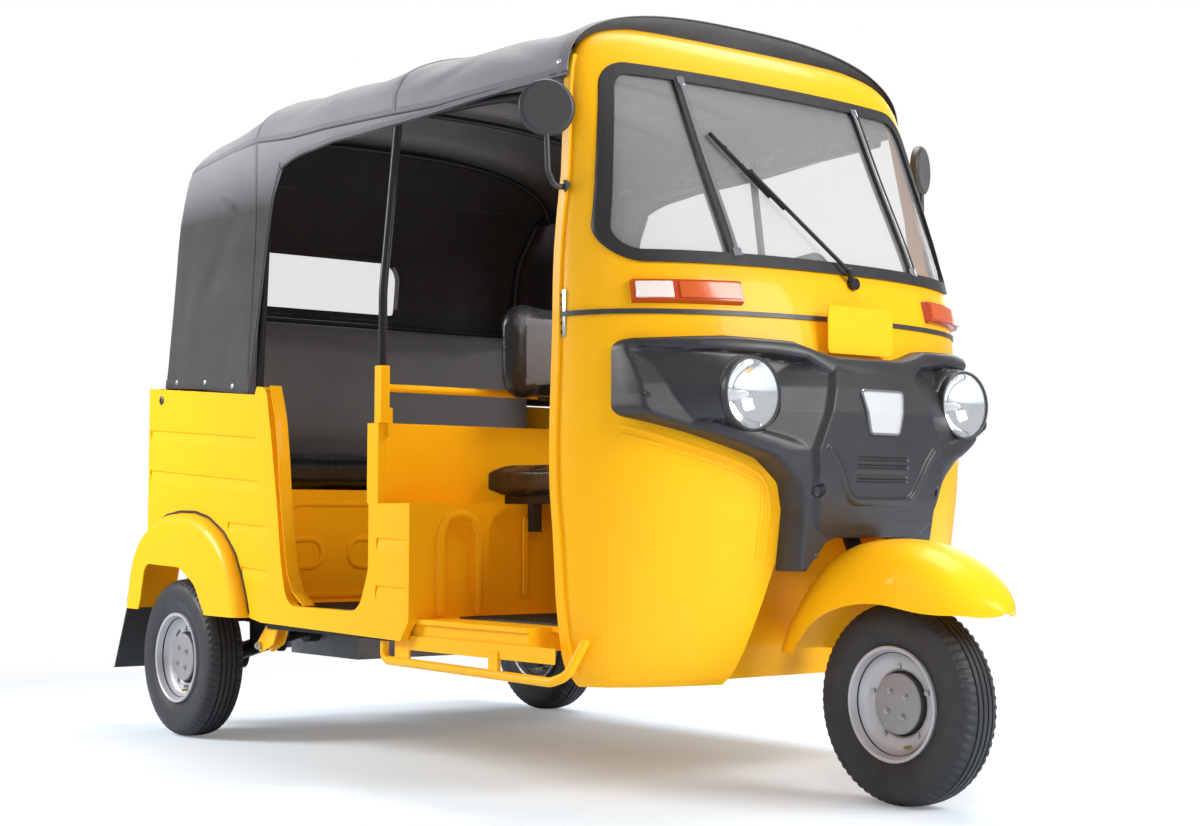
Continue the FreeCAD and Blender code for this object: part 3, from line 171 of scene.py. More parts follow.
def make_vinyl(name, color, wrinkle, low, high):
    """Coated seat fabric: fine leather grain under soft wrinkles."""
    material = principled(name, color, low, 0.0, 0.12, 0.4)
    vary_roughness(material, 14.0, low, high)
    grain = noise(material, 620.0, 3.0)
    folds = noise(material, 16.0, 5.0, (1.0, 1.0, 2.4), 0.62)
    bump(material, calc(material, "MULTIPLY_ADD", folds, wrinkle, grain), 0.0006, 0.5)
    return material


def make_fabric(name, top):
    """The hood's coated fabric: a fine weave, cloudy creases, the roof painted pale as painted top light, a
    paler shoulder band as a painted reflection, and painted shade on faces that look downward.
    """
    dark, light = (0.026, 0.025, 0.026), (0.038, 0.036, 0.038)
    material = principled(name, light, 0.62, specular=0.35)
    place = add(material, "ShaderNodeTexCoord").outputs["Object"]
    height = add(material, "ShaderNodeSeparateXYZ", {0: place}).outputs["Z"]
    facing = add(material, "ShaderNodeNewGeometry").outputs["Normal"]
    upward = add(material, "ShaderNodeSeparateXYZ", {0: facing}).outputs["Z"]
    clouds = noise(material, 5.0, 5.0, (0.7, 1.0, 1.6))
    color = mixed(material, ramp(material, clouds, *NOISE_RANGE, 0.0, 1.0), (*dark, 1), (*light, 1))
    # Painted light: from 1.36 m up the cloth is painted paler than the roof, a painted reflection along the
    # shoulder, and above 1.66 m it keeps the roof's pale colour, painted top light.
    shoulder = [1.7 * part for part in top]
    # Painted shade: faces that look downward, under the hood, get a darker tint.
    painted_underside_shade = [0.7 * part for part in dark]
    for amount, tint in ((ramp(material, height, 1.36, 1.52, 0.0, 1.0), shoulder),
                         (ramp(material, height, 1.54, 1.66, 0.0, 1.0), top),
                         (ramp(material, upward, -0.12, -0.02, 1.0, 0.0), painted_underside_shade)):
        color = mixed(material, amount, color, (*tint, 1))
    sheen = ramp(material, height, 1.36, 1.54, 0.08, 0.8)
    dress(material, {"Base Color": color, "Sheen Weight": sheen, "Sheen Roughness": 0.35})
    vary_roughness(material, 9.0, 0.5, 0.68)
    waves = [add(material, "ShaderNodeTexWave", {"Scale": 300.0, "Vector": place},
                 wave_type="BANDS", bands_direction=way).outputs["Fac"] for way in "XZ"]
    crease = noise(material, 7.0, 6.0, (1.0, 1.0, 1.8), 0.6)
    cloth = calc(material, "MULTIPLY_ADD", crease, 26.0, calc(material, "ADD", *waves))
    bump(material, cloth, 0.00035, 0.55)
    return material


# Each finish, by the record's slot name or a name of its own, with its maker and the maker's values
FINISHES = {
    "yellow_paint": (make_paint, (1.0, 0.475, 0.006)),
    "black_paint": (make_paint, (0.022, 0.022, 0.024), 0.2),
    "silver_paint": (make_metal, (0.47, 0.46, 0.48), 0.34, 0.46, 0.35),
    "grey_cast": (make_metal, (0.25, 0.25, 0.26), 0.5, 0.65, 0.6),
    "face_plastic": (make_plastic, (0.026, 0.025, 0.027), 0.34, 0.46),
    "black_plastic": (make_plastic, (0.038, 0.037, 0.038), 0.36, 0.5),
    "seal_rubber": (make_rubber, (0.02, 0.02, 0.021)),
    "tyre_rubber": (make_rubber, (0.026, 0.026, 0.028)),
    "screen_glass": (make_glass, (0.50, 0.49, 0.49), 0.02, 0.70),
    "lamp_glass": (make_glass, (0.9, 0.93, 0.94), 0.02, 0.8),
    "amber_plastic": (make_lens, (0.50, 0.05, 0.006), 0.22, 0.3),
    "red_plastic": (make_lens, (0.45, 0.012, 0.01), 0.2, 0.6),
    "plate_yellow": (make_paint, (1.0, 0.52, 0.01), 0.4),
    # The roof's pale colour here is painted top light.
    "canopy_fabric": (make_fabric, (0.20, 0.194, 0.203)),
    "window_vinyl": (make_glass, (0.92, 0.94, 0.94), 0.08, 0.8),
    "seat_vinyl": (make_vinyl, (0.013, 0.013, 0.014), 6.0, 0.22, 0.36),
    "mirror_face": (make_metal, (0.85, 0.85, 0.87), 0.02, 0.04),
    "chrome": (make_metal, (0.86, 0.87, 0.88), 0.05, 0.12),
    "steel": (make_metal, (0.5, 0.5, 0.5), 0.28, 0.4),
    "brass": (make_metal, (0.6, 0.42, 0.16), 0.25, 0.35),
    "grey_vinyl": (make_vinyl, (0.10, 0.10, 0.105), 2.0, 0.34, 0.48),
    "clear_plastic": (make_lens, (0.86, 0.74, 0.66), 0.16, 0.5),
    "mat_rubber": (make_rubber, (0.03, 0.03, 0.03)),
    "badge_grey": (make_metal, (0.52, 0.52, 0.52), 0.4, 0.5, 0.0),
    "hub_grey": (make_metal, (0.30, 0.29, 0.30), 0.4, 0.5, 0.4),
    "amber_lens": (make_lens, (0.62, 0.10, 0.010), 0.18, 0.3),
    "reflector": (make_metal, (0.88, 0.89, 0.9), 0.06, 0.1),
    "bulb_glass": (make_glass, (0.9, 0.9, 0.88), 0.04, 0.5),
    # The tapes' pale roof colour is painted top light too.
    "hood_tape": (make_fabric, (0.15, 0.145, 0.152)),
    "thread": (make_plastic, (0.12, 0.115, 0.11), 0.6, 0.7),
}
FINISH = {name: make(name, *values) for name, (make, *values) in FINISHES.items()}


# Mesh helpers

def smooth_by_angle(made, degrees):
    """Smooth shading with sharp edges past the given angle, without touching the mesh's points."""
    mesh = made.data
    mesh.shade_smooth()
    mesh.set_sharp_from_angle(angle=math.radians(degrees))


def settle(made, body, angle, stands_for=None):
    """Shades a finished piece and rides it on its body."""
    smooth_by_angle(made, angle)
    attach(made, body)
    if stands_for:
        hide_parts(stands_for)
    return made


def paint_solids():
    slots = {part["node"]: part["material_slot"] for part in frame["record"]["subparts"]}
    for name, made in NODES.items():
        made.data.materials.clear()
        made.data.materials.append(FINISH[slots[name]])
        smooth_by_angle(made, 32)


class Shape:
    """Points and faces gathered from several calls into one mesh."""

    def __init__(self):
        self.points = []
        self.faces = []

    def add(self, points, faces):
        start = len(self.points)
        self.points.extend(tuple(float(c) for c in p) for p in points)
        self.faces.extend([start + i for i in face] for face in faces)


def grid_faces(rows, columns, close_rows=False, close_columns=False, start=0):
    """Quads over rows times columns points, closed into a ring either way if asked."""
    faces = []
    for i in range(rows if close_rows else rows - 1):
        for j in range(columns if close_columns else columns - 1):
            a = start + i * columns + j
            b = start + i * columns + (j + 1) % columns
            c = start + (i + 1) % rows * columns + (j + 1) % columns
            d = start + (i + 1) % rows * columns + j
            faces.append([a, b, c, d])
    return faces


def smoothstep(value):
    t = np.clip(value, 0.0, 1.0)
    return t * t * (3 - 2 * t)


def put(name, shape, slot, finish=None, body="body", angle=32, weld=0.0, stands_for=None):
    """Makes one visible piece from a Shape. Its finish is its slot's own unless one is named."""
    mesh = bpy.data.meshes.new(name)
    mesh.from_pydata(shape.points, [], shape.faces)
    if weld:
        work = bmesh.new()
        work.from_mesh(mesh)
        bmesh.ops.remove_doubles(work, verts=work.verts, dist=weld)
        bmesh.ops.recalc_face_normals(work, faces=work.faces)
        work.to_mesh(mesh)
        work.free()
    mesh.materials.append(FINISH[finish or slot])
    made = bpy.data.objects.new(name, mesh)
    bpy.context.scene.collection.objects.link(made)
    return settle(made, body, angle, stands_for)


def copy_solid(name, node_name):
    """An object that starts as the plain solid's own mesh."""
    mesh = NODES[node_name].data.copy()
    mesh.transform(NODES[node_name].matrix_world)
    mesh.materials.clear()
    made = bpy.data.objects.new(name, mesh)
    bpy.context.scene.collection.objects.link(made)
    return made


def read_points(mesh):
    return np.array([v.co[:] for v in mesh.vertices])


def write_points(mesh, points):
    mesh.vertices.foreach_set("co", points.ravel())
    mesh.update()


def frame_of(direction):
    """The unit direction, and two unit vectors square to it and to each other."""
    along = Vector(direction).normalized()
    side = along.cross(Vector((0, 0, 1)))
    if side.length < 0.01:
        side = along.cross(Vector((0, 1, 0)))
    side.normalize()
    return along, side, along.cross(side)


def on_circle(radius, angle, across=0.0):
    """A point round the Y axis, across along it."""
    return np.array([radius * math.cos(angle), across, radius * math.sin(angle)])


def lathe(shape, centre, axis, profile, count=48):
    """Turns (radius, distance along the axis) points round an axis through centre."""
    along, u, v = frame_of(axis)
    turns = [2 * math.pi * k / count for k in range(count)]
    spokes = [u * math.cos(angle) + v * math.sin(angle) for angle in turns]
    points = [Vector(centre) + along * reach + spoke * max(radius, 1e-5)
              for radius, reach in profile for spoke in spokes]
    shape.add(points, grid_faces(len(profile), count, close_columns=True))


def end_caps(rows, count):
    """The two end faces of a tube of rows with count points each."""
    return [list(range(count)), [(rows - 1) * count + k for k in reversed(range(count))]]


def heading(line, i):
    """From the point before this one to the point after it, on an open line."""
    return line[min(i + 1, len(line) - 1)] - line[max(i - 1, 0)]


def bar(shape, line, radius, count=12):
    """A round bar through the given points, with its ends closed."""
    line = [Vector(p) for p in line]
    radii = radius if isinstance(radius, (list, tuple)) else [radius] * len(line)
    points = []
    side = None
    for i, p in enumerate(line):
        ahead = heading(line, i).normalized()
        if side is None:
            side = frame_of(ahead)[1]
        side = (side - ahead * side.dot(ahead)).normalized()
        over = ahead.cross(side)
        for k in range(count):
            angle = 2 * math.pi * k / count
            points.append(p + (side * math.cos(angle) + over * math.sin(angle)) * radii[i])
    shape.add(points, grid_faces(len(line), count, close_columns=True) + end_caps(len(line), count))


def ribbon(shape, line, normals, width, thick, closed=False):
    """A flat strip with soft edges along a line on a surface, with its normals or one for all."""
    section = [(-0.5, 0.0), (-0.5, 0.55), (-0.36, 0.95), (0.36, 0.95), (0.5, 0.55), (0.5, 0.0)]
    count = len(line)
    if isinstance(normals, tuple):
        normals = [normals] * count
    points = []
    for i, p in enumerate(line):
        before = line[i - 1] if i or closed else line[0]
        after = line[(i + 1) % count] if i < count - 1 or closed else line[-1]
        ahead = (Vector(after) - Vector(before)).normalized()
        normal = Vector(normals[i]).normalized()
        across = ahead.cross(normal).normalized()
        points += [Vector(p) + across * (u * width) + normal * (v * thick) for u, v in section]
    faces = grid_faces(count, len(section), close_rows=closed, close_columns=True)
    shape.add(points, faces if closed else faces + end_caps(count, len(section)))


def block(shape, low, high, bevel):
    """A box with small rounded edges."""
    work = bmesh.new()
    bmesh.ops.create_cube(work, size=1.0)
    for vert in work.verts:
        for i in range(3):
            vert.co[i] = (low[i] + high[i]) / 2 + vert.co[i] * (high[i] - low[i])
    bmesh.ops.bevel(work, geom=work.edges[:], offset=bevel, segments=2, affect="EDGES", profile=0.6)
    work.verts.index_update()
    shape.add([v.co.copy() for v in work.verts], [[v.index for v in f.verts] for f in work.faces])
    work.free()


def even_line(points, step=None, count=None):
    """The same line with evenly spaced points, step apart or count in all."""
    points = np.array(points, float)
    lengths = np.concatenate([[0], np.cumsum(np.linalg.norm(np.diff(points, axis=0), axis=1))])
    at = np.linspace(0, lengths[-1], count or max(2, int(lengths[-1] / step)))
    return np.column_stack([np.interp(at, lengths, column) for column in points.T])


def even_loop(outline, step):
    """A closed outline with evenly spaced points."""
    return even_line(list(outline) + [outline[0]], step)[:-1]


def rounded_outline(points, steps=6):
    """A closed outline through (u, v) or (u, v, corner radius) points, with round corners as arcs."""
    flat = [Vector((p[0], p[1])) for p in points]
    out = []
    for i, corner in enumerate(flat):
        radius = points[i][2] if len(points[i]) > 2 else 0.0
        if radius <= 0:
            out.append(corner)
            continue
        before = (flat[i - 1] - corner).normalized()
        after = (flat[(i + 1) % len(flat)] - corner).normalized()
        angle = before.angle(after)
        reach = radius / math.tan(angle / 2)
        centre = corner + (before + after).normalized() * (radius / math.sin(angle / 2))
        start = corner + before * reach - centre
        sweep = start.angle_signed(corner + after * reach - centre)
        for k in range(steps + 1):
            turned = start.copy()
            turned.rotate(Matrix.Rotation(-sweep * k / steps, 2))
            out.append(centre + turned)
    return np.array([[p.x, p.y] for p in out])


def outline_distance(outline, points):
    """Distance from each point to a closed outline, positive inside, and the nearest spot on it."""
    best = np.full(len(points), 1e9)
    spot = np.zeros_like(points)
    inside = np.zeros(len(points), bool)
    for a, b in zip(outline, np.roll(outline, -1, axis=0)):
        run = b - a
        length = max(float(run @ run), 1e-18)
        t = np.clip(((points - a) @ run) / length, 0, 1)
        near = a + t[:, None] * run
        gap = np.hypot(*(points - near).T)
        closer = gap < best
        best[closer] = gap[closer]
        spot[closer] = near[closer]
        crosses = (a[1] > points[:, 1]) != (b[1] > points[:, 1])
        rise = run[1] if abs(run[1]) > 1e-12 else 1e-12
        inside ^= crosses & (points[:, 0] < a[0] + (points[:, 1] - a[1]) * run[0] / rise)
    return np.where(inside, best, -best), spot


def trimmed_grid(low, high, step, outline, holes):
    """Flat (u, v) points and quads that fill an outline, with the edge points drawn onto it."""
    us = np.arange(low[0], high[0] + step, step)
    vs = np.arange(low[1], high[1] + step, step)
    flat = np.array([[u, v] for v in vs for u in us])
    depth, spot = outline_distance(outline, flat)
    for hu, hv, radius in holes:
        away = flat - [hu, hv]
        span = np.maximum(np.hypot(*away.T), 1e-9)
        closer = span - radius < depth
        depth = np.where(closer, span - radius, depth)
        spot[closer] = ([hu, hv] + away / span[:, None] * radius)[closer]
    kept = []
    for i in range(len(vs) - 1):
        for j in range(len(us) - 1):
            a = i * len(us) + j
            quad = [a, a + 1, a + 1 + len(us), a + len(us)]
            if min(depth[k] for k in quad) > -0.45 * step:
                kept.append(quad)
    uses = np.zeros(len(flat), int)
    for quad in kept:
        uses[quad] += 1
    edge = (uses > 0) & (uses < 4)
    flat[edge] = spot[edge]
    order = {old: new for new, old in enumerate(np.nonzero(uses)[0])}
    quads = [[order[k] for k in quad] for quad in kept]
    used = uses > 0
    return flat[used], quads, np.where(edge, 0.0, np.maximum(depth, 0.0))[used]


def shell_between(shape, front, back, quads):
    """A closed solid between two point sets over the same quads."""
    count = len(front)
    directed = dict.fromkeys(pair for quad in quads for pair in zip(quad, quad[1:] + quad[:1]))
    faces = [list(quad) for quad in quads] + [[count + k for k in reversed(quad)] for quad in quads]
    faces += [[b, a, count + a, count + b] for a, b in directed if (b, a) not in directed]
    shape.add(list(front) + list(back), faces)


# The black face panel and its lamps

SKIN_POWER = 2.2
SKIN_Z = (0.450, 0.600, 0.720, 0.860, 1.000)
SKIN_EDGE_X = (0.598, 0.595, 0.594, 0.594, 0.596)
SKIN_DEPTH = (0.276, 0.312, 0.327, 0.322, 0.302)
SKIN_HALF_W = (0.551, 0.556, 0.560, 0.557, 0.553)
FACE_WIDE = .014
FACE_ROUND = .007
LAMP_Y, LAMP_Z, LAMP_R, LAMP_X = .319, .831, .0765, .938
# Half the panel's outline as (y, z, corner radius)
FACE_HALF = [(0, .918), (.095, .918), (.14, .928, .03), (.195, .945, .03), (.34, .951, .1),
             (.514, .943, .024), (.518, .790, .024), (.40, .752, .06), (.268, .704, .05),
             (.214, .655, .03), (.198, .60), (.190, .474, .006), (.168, .474, .006), (.132, .530, .02),
             (.10, .542, .01), (0, .542)]
# The panel's lines: proud, shield and shield_half go by height, the others by the distance from the middle
FACE_LINES = {
    "proud": ((.45, .56, .65, .80, .88, .99), (.076, .072, .066, .074, .052, .026)),
    "thin": ((.40, .515), (1.0, .42)),
    "top": ((0, .095, .14, .195, .34, .514), (.918, .918, .928, .945, .951, .943)),
    "low": ((.168, .19, .198, .214, .268, .40, .518), (.474, .474, .60, .655, .704, .752, .79)),
    "brow": ((.11, .127, .173, .25, .329, .406, .477), (.872, .881, .908, .916, .916, .920, .925)),
    "lip": ((.19, .229, .297, .346, .412, .482, .515), (.730, .737, .756, .768, .777, .784, .80)),
    "shield_half": ((.545, .57, .65, .72, .797, .86, .916), (.14, .165, .18, .185, .15, .125, .10)),
    "shield": ((.542, .57, .62, .68, .80, .85, .885, .918),
               (.958, .972, .986, .993, .996, .986, .972, .952)),
    "sink": ((.44, .51), (.024, .009)),
}
FACE_RIDGE = [(.157, .722), (.135, .696), (.118, .667), (.10, .634), (.086, .621), (.07, .617), (0, .617)]
FACE_SLOTS = (.706, .689, .672, .661)
# The slots' depth, half height and half length, and the soft edges of the last two
FACE_SLOT = (.004, .0042, .078)
FACE_SLOT_EDGE = (.002, .004)
# The ridge beside and under the slots: its height, half width and soft edge
RIDGE = (.006, .0095, .005)
# A round hole at the top of each leg: y, z, radius, depth, soft edge and width over height
LEG_HOLE = (.176, .638, .014, .012, .004, .9)
# The step beside the centre shield: its depth and width, and the fall outside it
FACET = (.011, .009, .40)
# The lamp's recess: its outer end, and the soft edges up and down, outward and beside the shield
SCOOP_END_Y = .5115
SCOOP_EDGE = (.008, .005, .012)
# The cone round the lamp: how far behind LAMP_X it starts, its slope, and its gap to the lamp
COLLAR = (.012, 1.32, .003)
BROW_ROLL = .010
LIP_ROLL = .007
LIP_ROLL_Y = .2
# Each screw's y, z, outward lean, profile and sides
FACE_SCREWS = ((.5035, .905, .9, [(.0075, 0), (.0075, .002), (.005, .0055), (0, .006)], 16),
               (.5045, .828, .9, [(.0075, 0), (.0075, .002), (.005, .0055), (0, .006)], 16),
               (.156, .505, 0, [(.006, 0), (.005, .003), (0, .0045)], 14))
SCREW_SUNK = .001
LAMP_RIM = [(.0762, -.040), (.0762, .000), (.0752, .0040), (.0728, .0052), (.0708, .0040), (.0700, .000),
            (.0700, -.004), (.0700, -.040), (.0762, -.040)]
LAMP_BOWL = [(.0700, -.002), (.068, -.004), (.062, -.0125), (.052, -.0225), (.040, -.0305), (.026, -.036),
             (.013, -.0385), (.009, -.039), (0, -.039)]
LAMP_DOME = [(.0705, .001), (.066, .0030), (.055, .0055), (.040, .0078), (.022, .0092), (0, .0097)]
LAMP_BULB = [(.0085, -.039), (.0085, -.026), (.0065, -.020), (.004, -.014), (0, -.012)]


def skin_x(y, z, proud=0.0, wide=0.0):
    """The cab's outer skin, or that grown outward by proud, at a place seen from ahead."""
    edge = np.interp(z, SKIN_Z, SKIN_EDGE_X)
    depth = np.interp(z, SKIN_Z, SKIN_DEPTH) + proud
    half = np.interp(z, SKIN_Z, SKIN_HALF_W) + wide
    return edge + depth * np.maximum(1 - np.abs(y / half) ** SKIN_POWER, 1e-6) ** (1 / SKIN_POWER)


def line_distance(y, z, line):
    best = np.full(len(y), 1e9)
    for (ay, az), (by, bz) in zip(line, line[1:]):
        run = np.array([by - ay, bz - az])
        t = np.clip(((y - ay) * run[0] + (z - az) * run[1]) / (run @ run), 0, 1)
        best = np.minimum(best, np.hypot(y - ay - t * run[0], z - az - t * run[1]))
    return best


def face_line(name, at):
    return np.interp(at, *FACE_LINES[name])


def round_edge(t):
    """The height of a half circle over t from 0 to 1."""
    return np.sqrt(np.maximum(1 - (2 * np.clip(t, 0, 1) - 1) ** 2, 0))


def face_height(y, z, edge=.03):
    """How far forward the face panel stands at (y, z). edge is the distance to its outline."""
    a = np.abs(y)
    top, low, brow, lip = (face_line(name, a) for name in ("top", "low", "brow", "lip"))
    shield = face_line("shield", z)
    past = a - face_line("shield_half", z)
    base = skin_x(y, z, face_line("proud", z) * face_line("thin", a), FACE_WIDE)
    step, wide, fall = FACET
    facet = shield - step * smoothstep(past / wide) - fall * np.maximum(past, 0)
    upright, outer, inner = SCOOP_EDGE
    scoop = smoothstep((z - lip) / upright) * smoothstep((brow - z) / upright)
    scoop = scoop * smoothstep((SCOOP_END_Y - a) / outer) * smoothstep((past - .002) / inner)
    span = np.hypot(a - LAMP_Y, z - LAMP_Z)
    behind, slope, gap = COLLAR
    collar = LAMP_X - behind - slope * np.maximum(span - LAMP_R - gap, 0)
    floor_x = np.maximum(np.maximum(base - face_line("sink", a), collar), facet)
    roll = BROW_ROLL * round_edge((z - brow) / np.maximum(top - brow, .01)) * (z > brow)
    lip_roll = LIP_ROLL * round_edge((z - low) / np.maximum(lip - low, .01))
    roll = roll + lip_roll * (z < lip) * (a > LIP_ROLL_Y)
    ledge = np.maximum(base + roll, facet)
    out = ledge + (floor_x - ledge) * scoop
    out = np.where(past < 0, np.maximum(shield, np.where(z > brow, ledge, 0)), out)
    high, half, soft = RIDGE
    out = out + high * smoothstep((half - line_distance(a, z, FACE_RIDGE)) / soft)
    deep, half_z, half_y = FACE_SLOT
    soft_z, soft_y = FACE_SLOT_EDGE
    for level in FACE_SLOTS:
        slot = smoothstep((half_z - np.abs(z - level)) / soft_z) * smoothstep((half_y - a) / soft_y)
        out = out - deep * slot
    hole_y, hole_z, hole_r, deep, soft, narrow = LEG_HOLE
    out = out - deep * smoothstep((hole_r - np.hypot((a - hole_y) / narrow, z - hole_z)) / soft)
    inward = np.clip(edge / FACE_ROUND, 0, 1)
    return out - FACE_ROUND * (1 - np.sqrt(np.maximum(1 - (1 - inward) ** 2, 0)))


def face_at(y, z):
    return float(face_height(np.array([y]), np.array([z]))[0])


def make_face_panel():
    outline = rounded_outline(FACE_HALF + [(-p[0], *p[1:]) for p in reversed(FACE_HALF) if p[0] > 0])
    holes = [(s * LAMP_Y, LAMP_Z, LAMP_R) for s in SIDES]
    flat, quads, edge = trimmed_grid((-.5216, .4704), (.5216, .956), .0032, outline, holes)
    y, z = flat.T
    in_hole = np.hypot(np.abs(y) - LAMP_Y, z - LAMP_Z) < LAMP_R + .008
    front = face_height(y, z, np.where(in_hole, .02, edge))
    back = np.minimum(skin_x(y, z) + .0006, front - .003)
    shape = Shape()
    shell_between(shape, np.column_stack([front, y, z]), np.column_stack([back, y, z]), quads)
    put("face_panel_moulding", shape, "face_plastic", angle=40, stands_for="face_panel")


def make_face_screws():
    screws = Shape()
    for s in SIDES:
        for y, z, lean, profile, count in FACE_SCREWS:
            lathe(screws, (face_at(y, z) - SCREW_SUNK, s * y, z), (1, s * lean, 0), profile, count)
    put("face_panel_bolts", screws, "black_plastic")


def make_lamps():
    rims, bowls, lenses, bulbs = Shape(), Shape(), Shape(), Shape()
    for s in SIDES:
        centre = (LAMP_X, s * LAMP_Y, LAMP_Z)
        lathe(rims, centre, AHEAD, LAMP_RIM, 64)
        lathe(bowls, centre, AHEAD, LAMP_BOWL, 72)
        lathe(lenses, centre, AHEAD, LAMP_DOME, 64)
        lathe(bulbs, centre, AHEAD, LAMP_BULB, 24)
    put("headlamp_lenses", lenses, "lamp_glass", stands_for="headlamps")
    put("headlamp_rims", rims, "black_plastic")
    put("headlamp_reflectors", bowls, "mirror_face", "reflector")
    put("headlamp_bulbs", bulbs, "lamp_glass", "bulb_glass")


# The hood, as stations along X: height of the crown, half width, depth of the shoulder, squareness

HOOD_X = (-1.300, -1.050, -.950, -.820, -.690, -.590, -.450, -.300, -.150, 0, .150, .300, .400, .530, .572)
HOOD_CROWN = (1.600, 1.640, 1.660, 1.672, 1.695, 1.704, 1.696, 1.694, 1.692, 1.698, 1.693, 1.690, 1.688,
              1.694, 1.692)
HOOD_HALF = (.602, .603, .604, .604, .602, .600, .596, .590, .583, .576, .562, .548, .535, .516, .510)
HOOD_DROP = (.200, .195, .185, .180, .182, .176, .172, .170, .170, .170, .170, .170, .170, .175, .175)
HOOD_POWER = (2.3, 2.3, 2.35, 2.4, 2.4, 2.55, 2.6, 2.6, 2.6, 2.6, 2.6, 2.6, 2.6, 2.6, 2.6)
REAR_Z = (.88, 1.10, 1.25, 1.33, 1.37, 1.43, 1.50, 1.56, 1.64, 1.70, 1.78)
REAR_X = (-1.162, -1.1305, -1.109, -1.096, -1.088, -1.070, -1.040, -1.004, -.951, -.908, -.850)
HOOD_FLARE = .014
HOOD_CORNER_R = .075
HOOD_CORE_Z = 1.30
HOOD_FAN_X = -.85
HOOD_EAVE_Z = 1.46
HEM_NEAR_Z = .925
HOOD_THICK = .0024
# The sag between hoops, the waves all over and the upright folds of the rear wall
SAG_DEEP, WAVE_DEEP, FOLD_DEEP = .0075, .0012, .0025
HOOPS_X = (-.93, -.60, -.30, 0.0, .30, .572)
# Where the roof ends in front, where the side curtain starts, where the fan ends, and the hem's corner
FRONT_X, CURTAIN_X, FAN_END_X, HEM_X = .572, -.487, -1.061, -1.165
# Rows of the mesh over the roof to the curtain, to the fan, round the fan and down, and columns each side
ROOF_ROWS, BACK_ROWS, FAN_ROWS, DOWN_ROWS, HALF_COLUMNS = 89, 31, 20, 44, 64
# The hood's lower edge ahead of the side curtain as (x, z), and the curtain's front edge as (z, x)
EAVE_EDGE = ((-.487, 1.452), (-.44, 1.466), (-.393, 1.475), (-.245, 1.486), (-.009, 1.488), (.149, 1.494),
             (.371, 1.506), (.51, 1.512), (.572, 1.514))
CURTAIN_EDGE = ((.888, -.620), (1.053, -.585), (1.272, -.551), (1.385, -.523), (1.43, -.504), (1.460, -.487))
HEM = ((-1.165, .936), (-1.02, .926), (-.849, .916), (-.620, .890))
SEAM = ((-1.06, 1.500), (-.943, 1.516), (-.76, 1.535), (-.613, 1.541), (-.455, 1.528), (-.301, 1.527),
        (-.16, 1.524), (-.009, 1.518), (.149, 1.514), (.371, 1.520), (.51, 1.523), (.572, 1.527))
WINDOW = [(-.380, 1.165, .024), (.150, 1.165, .024), (.150, 1.345, .07), (-.380, 1.345, .07)]
# Creases on the side: middle in x and z, run, rise, width and depth
CREASES = ((.16, 1.565, .16, .060, .014, .0045), (.06, 1.60, .13, .05, .016, .003),
           (.40, 1.60, .15, -.045, .016, .003), (-.40, 1.60, .17, .05, .020, .003),
           (-.82, 1.22, .14, .17, .026, .003), (-.98, 1.15, .05, .22, .030, .0035),
           (-.72, 1.36, .13, -.06, .024, .0025))


def along_line(line, value):
    return float(np.interp(value, *zip(*sorted(line))))


def hem_height(x):
    return along_line(HEM, max(x, HEM_X))


def hood_excess(p):
    """Negative under the hood's skin and positive outside it."""
    x, y, z = np.asarray(p, float).T
    rows = (HOOD_CROWN, HOOD_HALF, HOOD_DROP, HOOD_POWER)
    crown, half, drop, power = (np.interp(x, HOOD_X, row) for row in rows)
    spring = crown - drop
    up = np.maximum(z - spring, 0) / drop
    half = half + HOOD_FLARE * np.maximum(spring - z, 0) / (spring - .700)
    section = ((np.abs(y) / half) ** power + up ** power) ** (1 / power) - 1
    section = section * half
    rear = (np.interp(z, REAR_Z, REAR_X) - x) * .9
    u = np.maximum(section + HOOD_CORNER_R, 0)
    v = np.maximum(rear + HOOD_CORNER_R, 0)
    return np.hypot(u, v) + np.minimum(np.maximum(section, rear) + HOOD_CORNER_R, 0) - HOOD_CORNER_R


def hood_slack(p):
    """How far the cloth lies under the taut skin: sag between the hoops, creases and soft folds."""
    x, y, z = np.asarray(p, float).T
    sag = np.zeros(len(x))
    for back, front in zip(HOOPS_X, HOOPS_X[1:]):
        t = np.clip((x - back) / (front - back), 0, 1)
        sag += np.where((x > back) & (x < front), np.sin(math.pi * t) ** 1.4, 0)
    top = smoothstep((z - 1.47) / .10)
    out = SAG_DEEP * sag * top * (1 - .45 * smoothstep((np.abs(y) - .35) / .2))
    wave = np.sin(31 * x + 3.1 * np.sin(5.0 * z + 2.0 * y)) * np.sin(9.0 * z + 4.0 * x + 1.3)
    out = out + WAVE_DEEP * (wave + 1) * (1 - .5 * top)
    for at_x, at_z, run, rise, width, deep in CREASES:
        length = math.hypot(run, rise)
        u = ((x - at_x) * run + (z - at_z) * rise) / length
        v = (-(x - at_x) * rise + (z - at_z) * run) / length
        fade = np.exp(-(u / (length * .62)) ** 2)
        ridge = np.exp(-(v / width) ** 2) - .55 * np.exp(-((v - 1.6 * width) / width) ** 2)
        out = out + deep * fade * ridge
    rear = smoothstep((-1.0 - x) / .05)
    return out + FOLD_DEEP * rear * (1 + np.sin(17 * y + 6 * z)) * smoothstep((1.45 - z) / .1)


def hood_points(centres, directions):
    """Where rays from inside meet the hood's cloth."""
    centres = np.asarray(centres, float)
    directions = np.asarray(directions, float)
    directions = directions / np.linalg.norm(directions, axis=1)[:, None]
    near = np.zeros(len(centres))
    far = np.full(len(centres), 1.4)
    for _ in range(36):
        middle = (near + far) / 2
        inside = hood_excess(centres + directions * middle[:, None]) < 0
        near = np.where(inside, middle, near)
        far = np.where(inside, far, middle)
    taut = centres + directions * near[:, None]
    return taut - hood_normals(taut) * hood_slack(taut)[:, None]


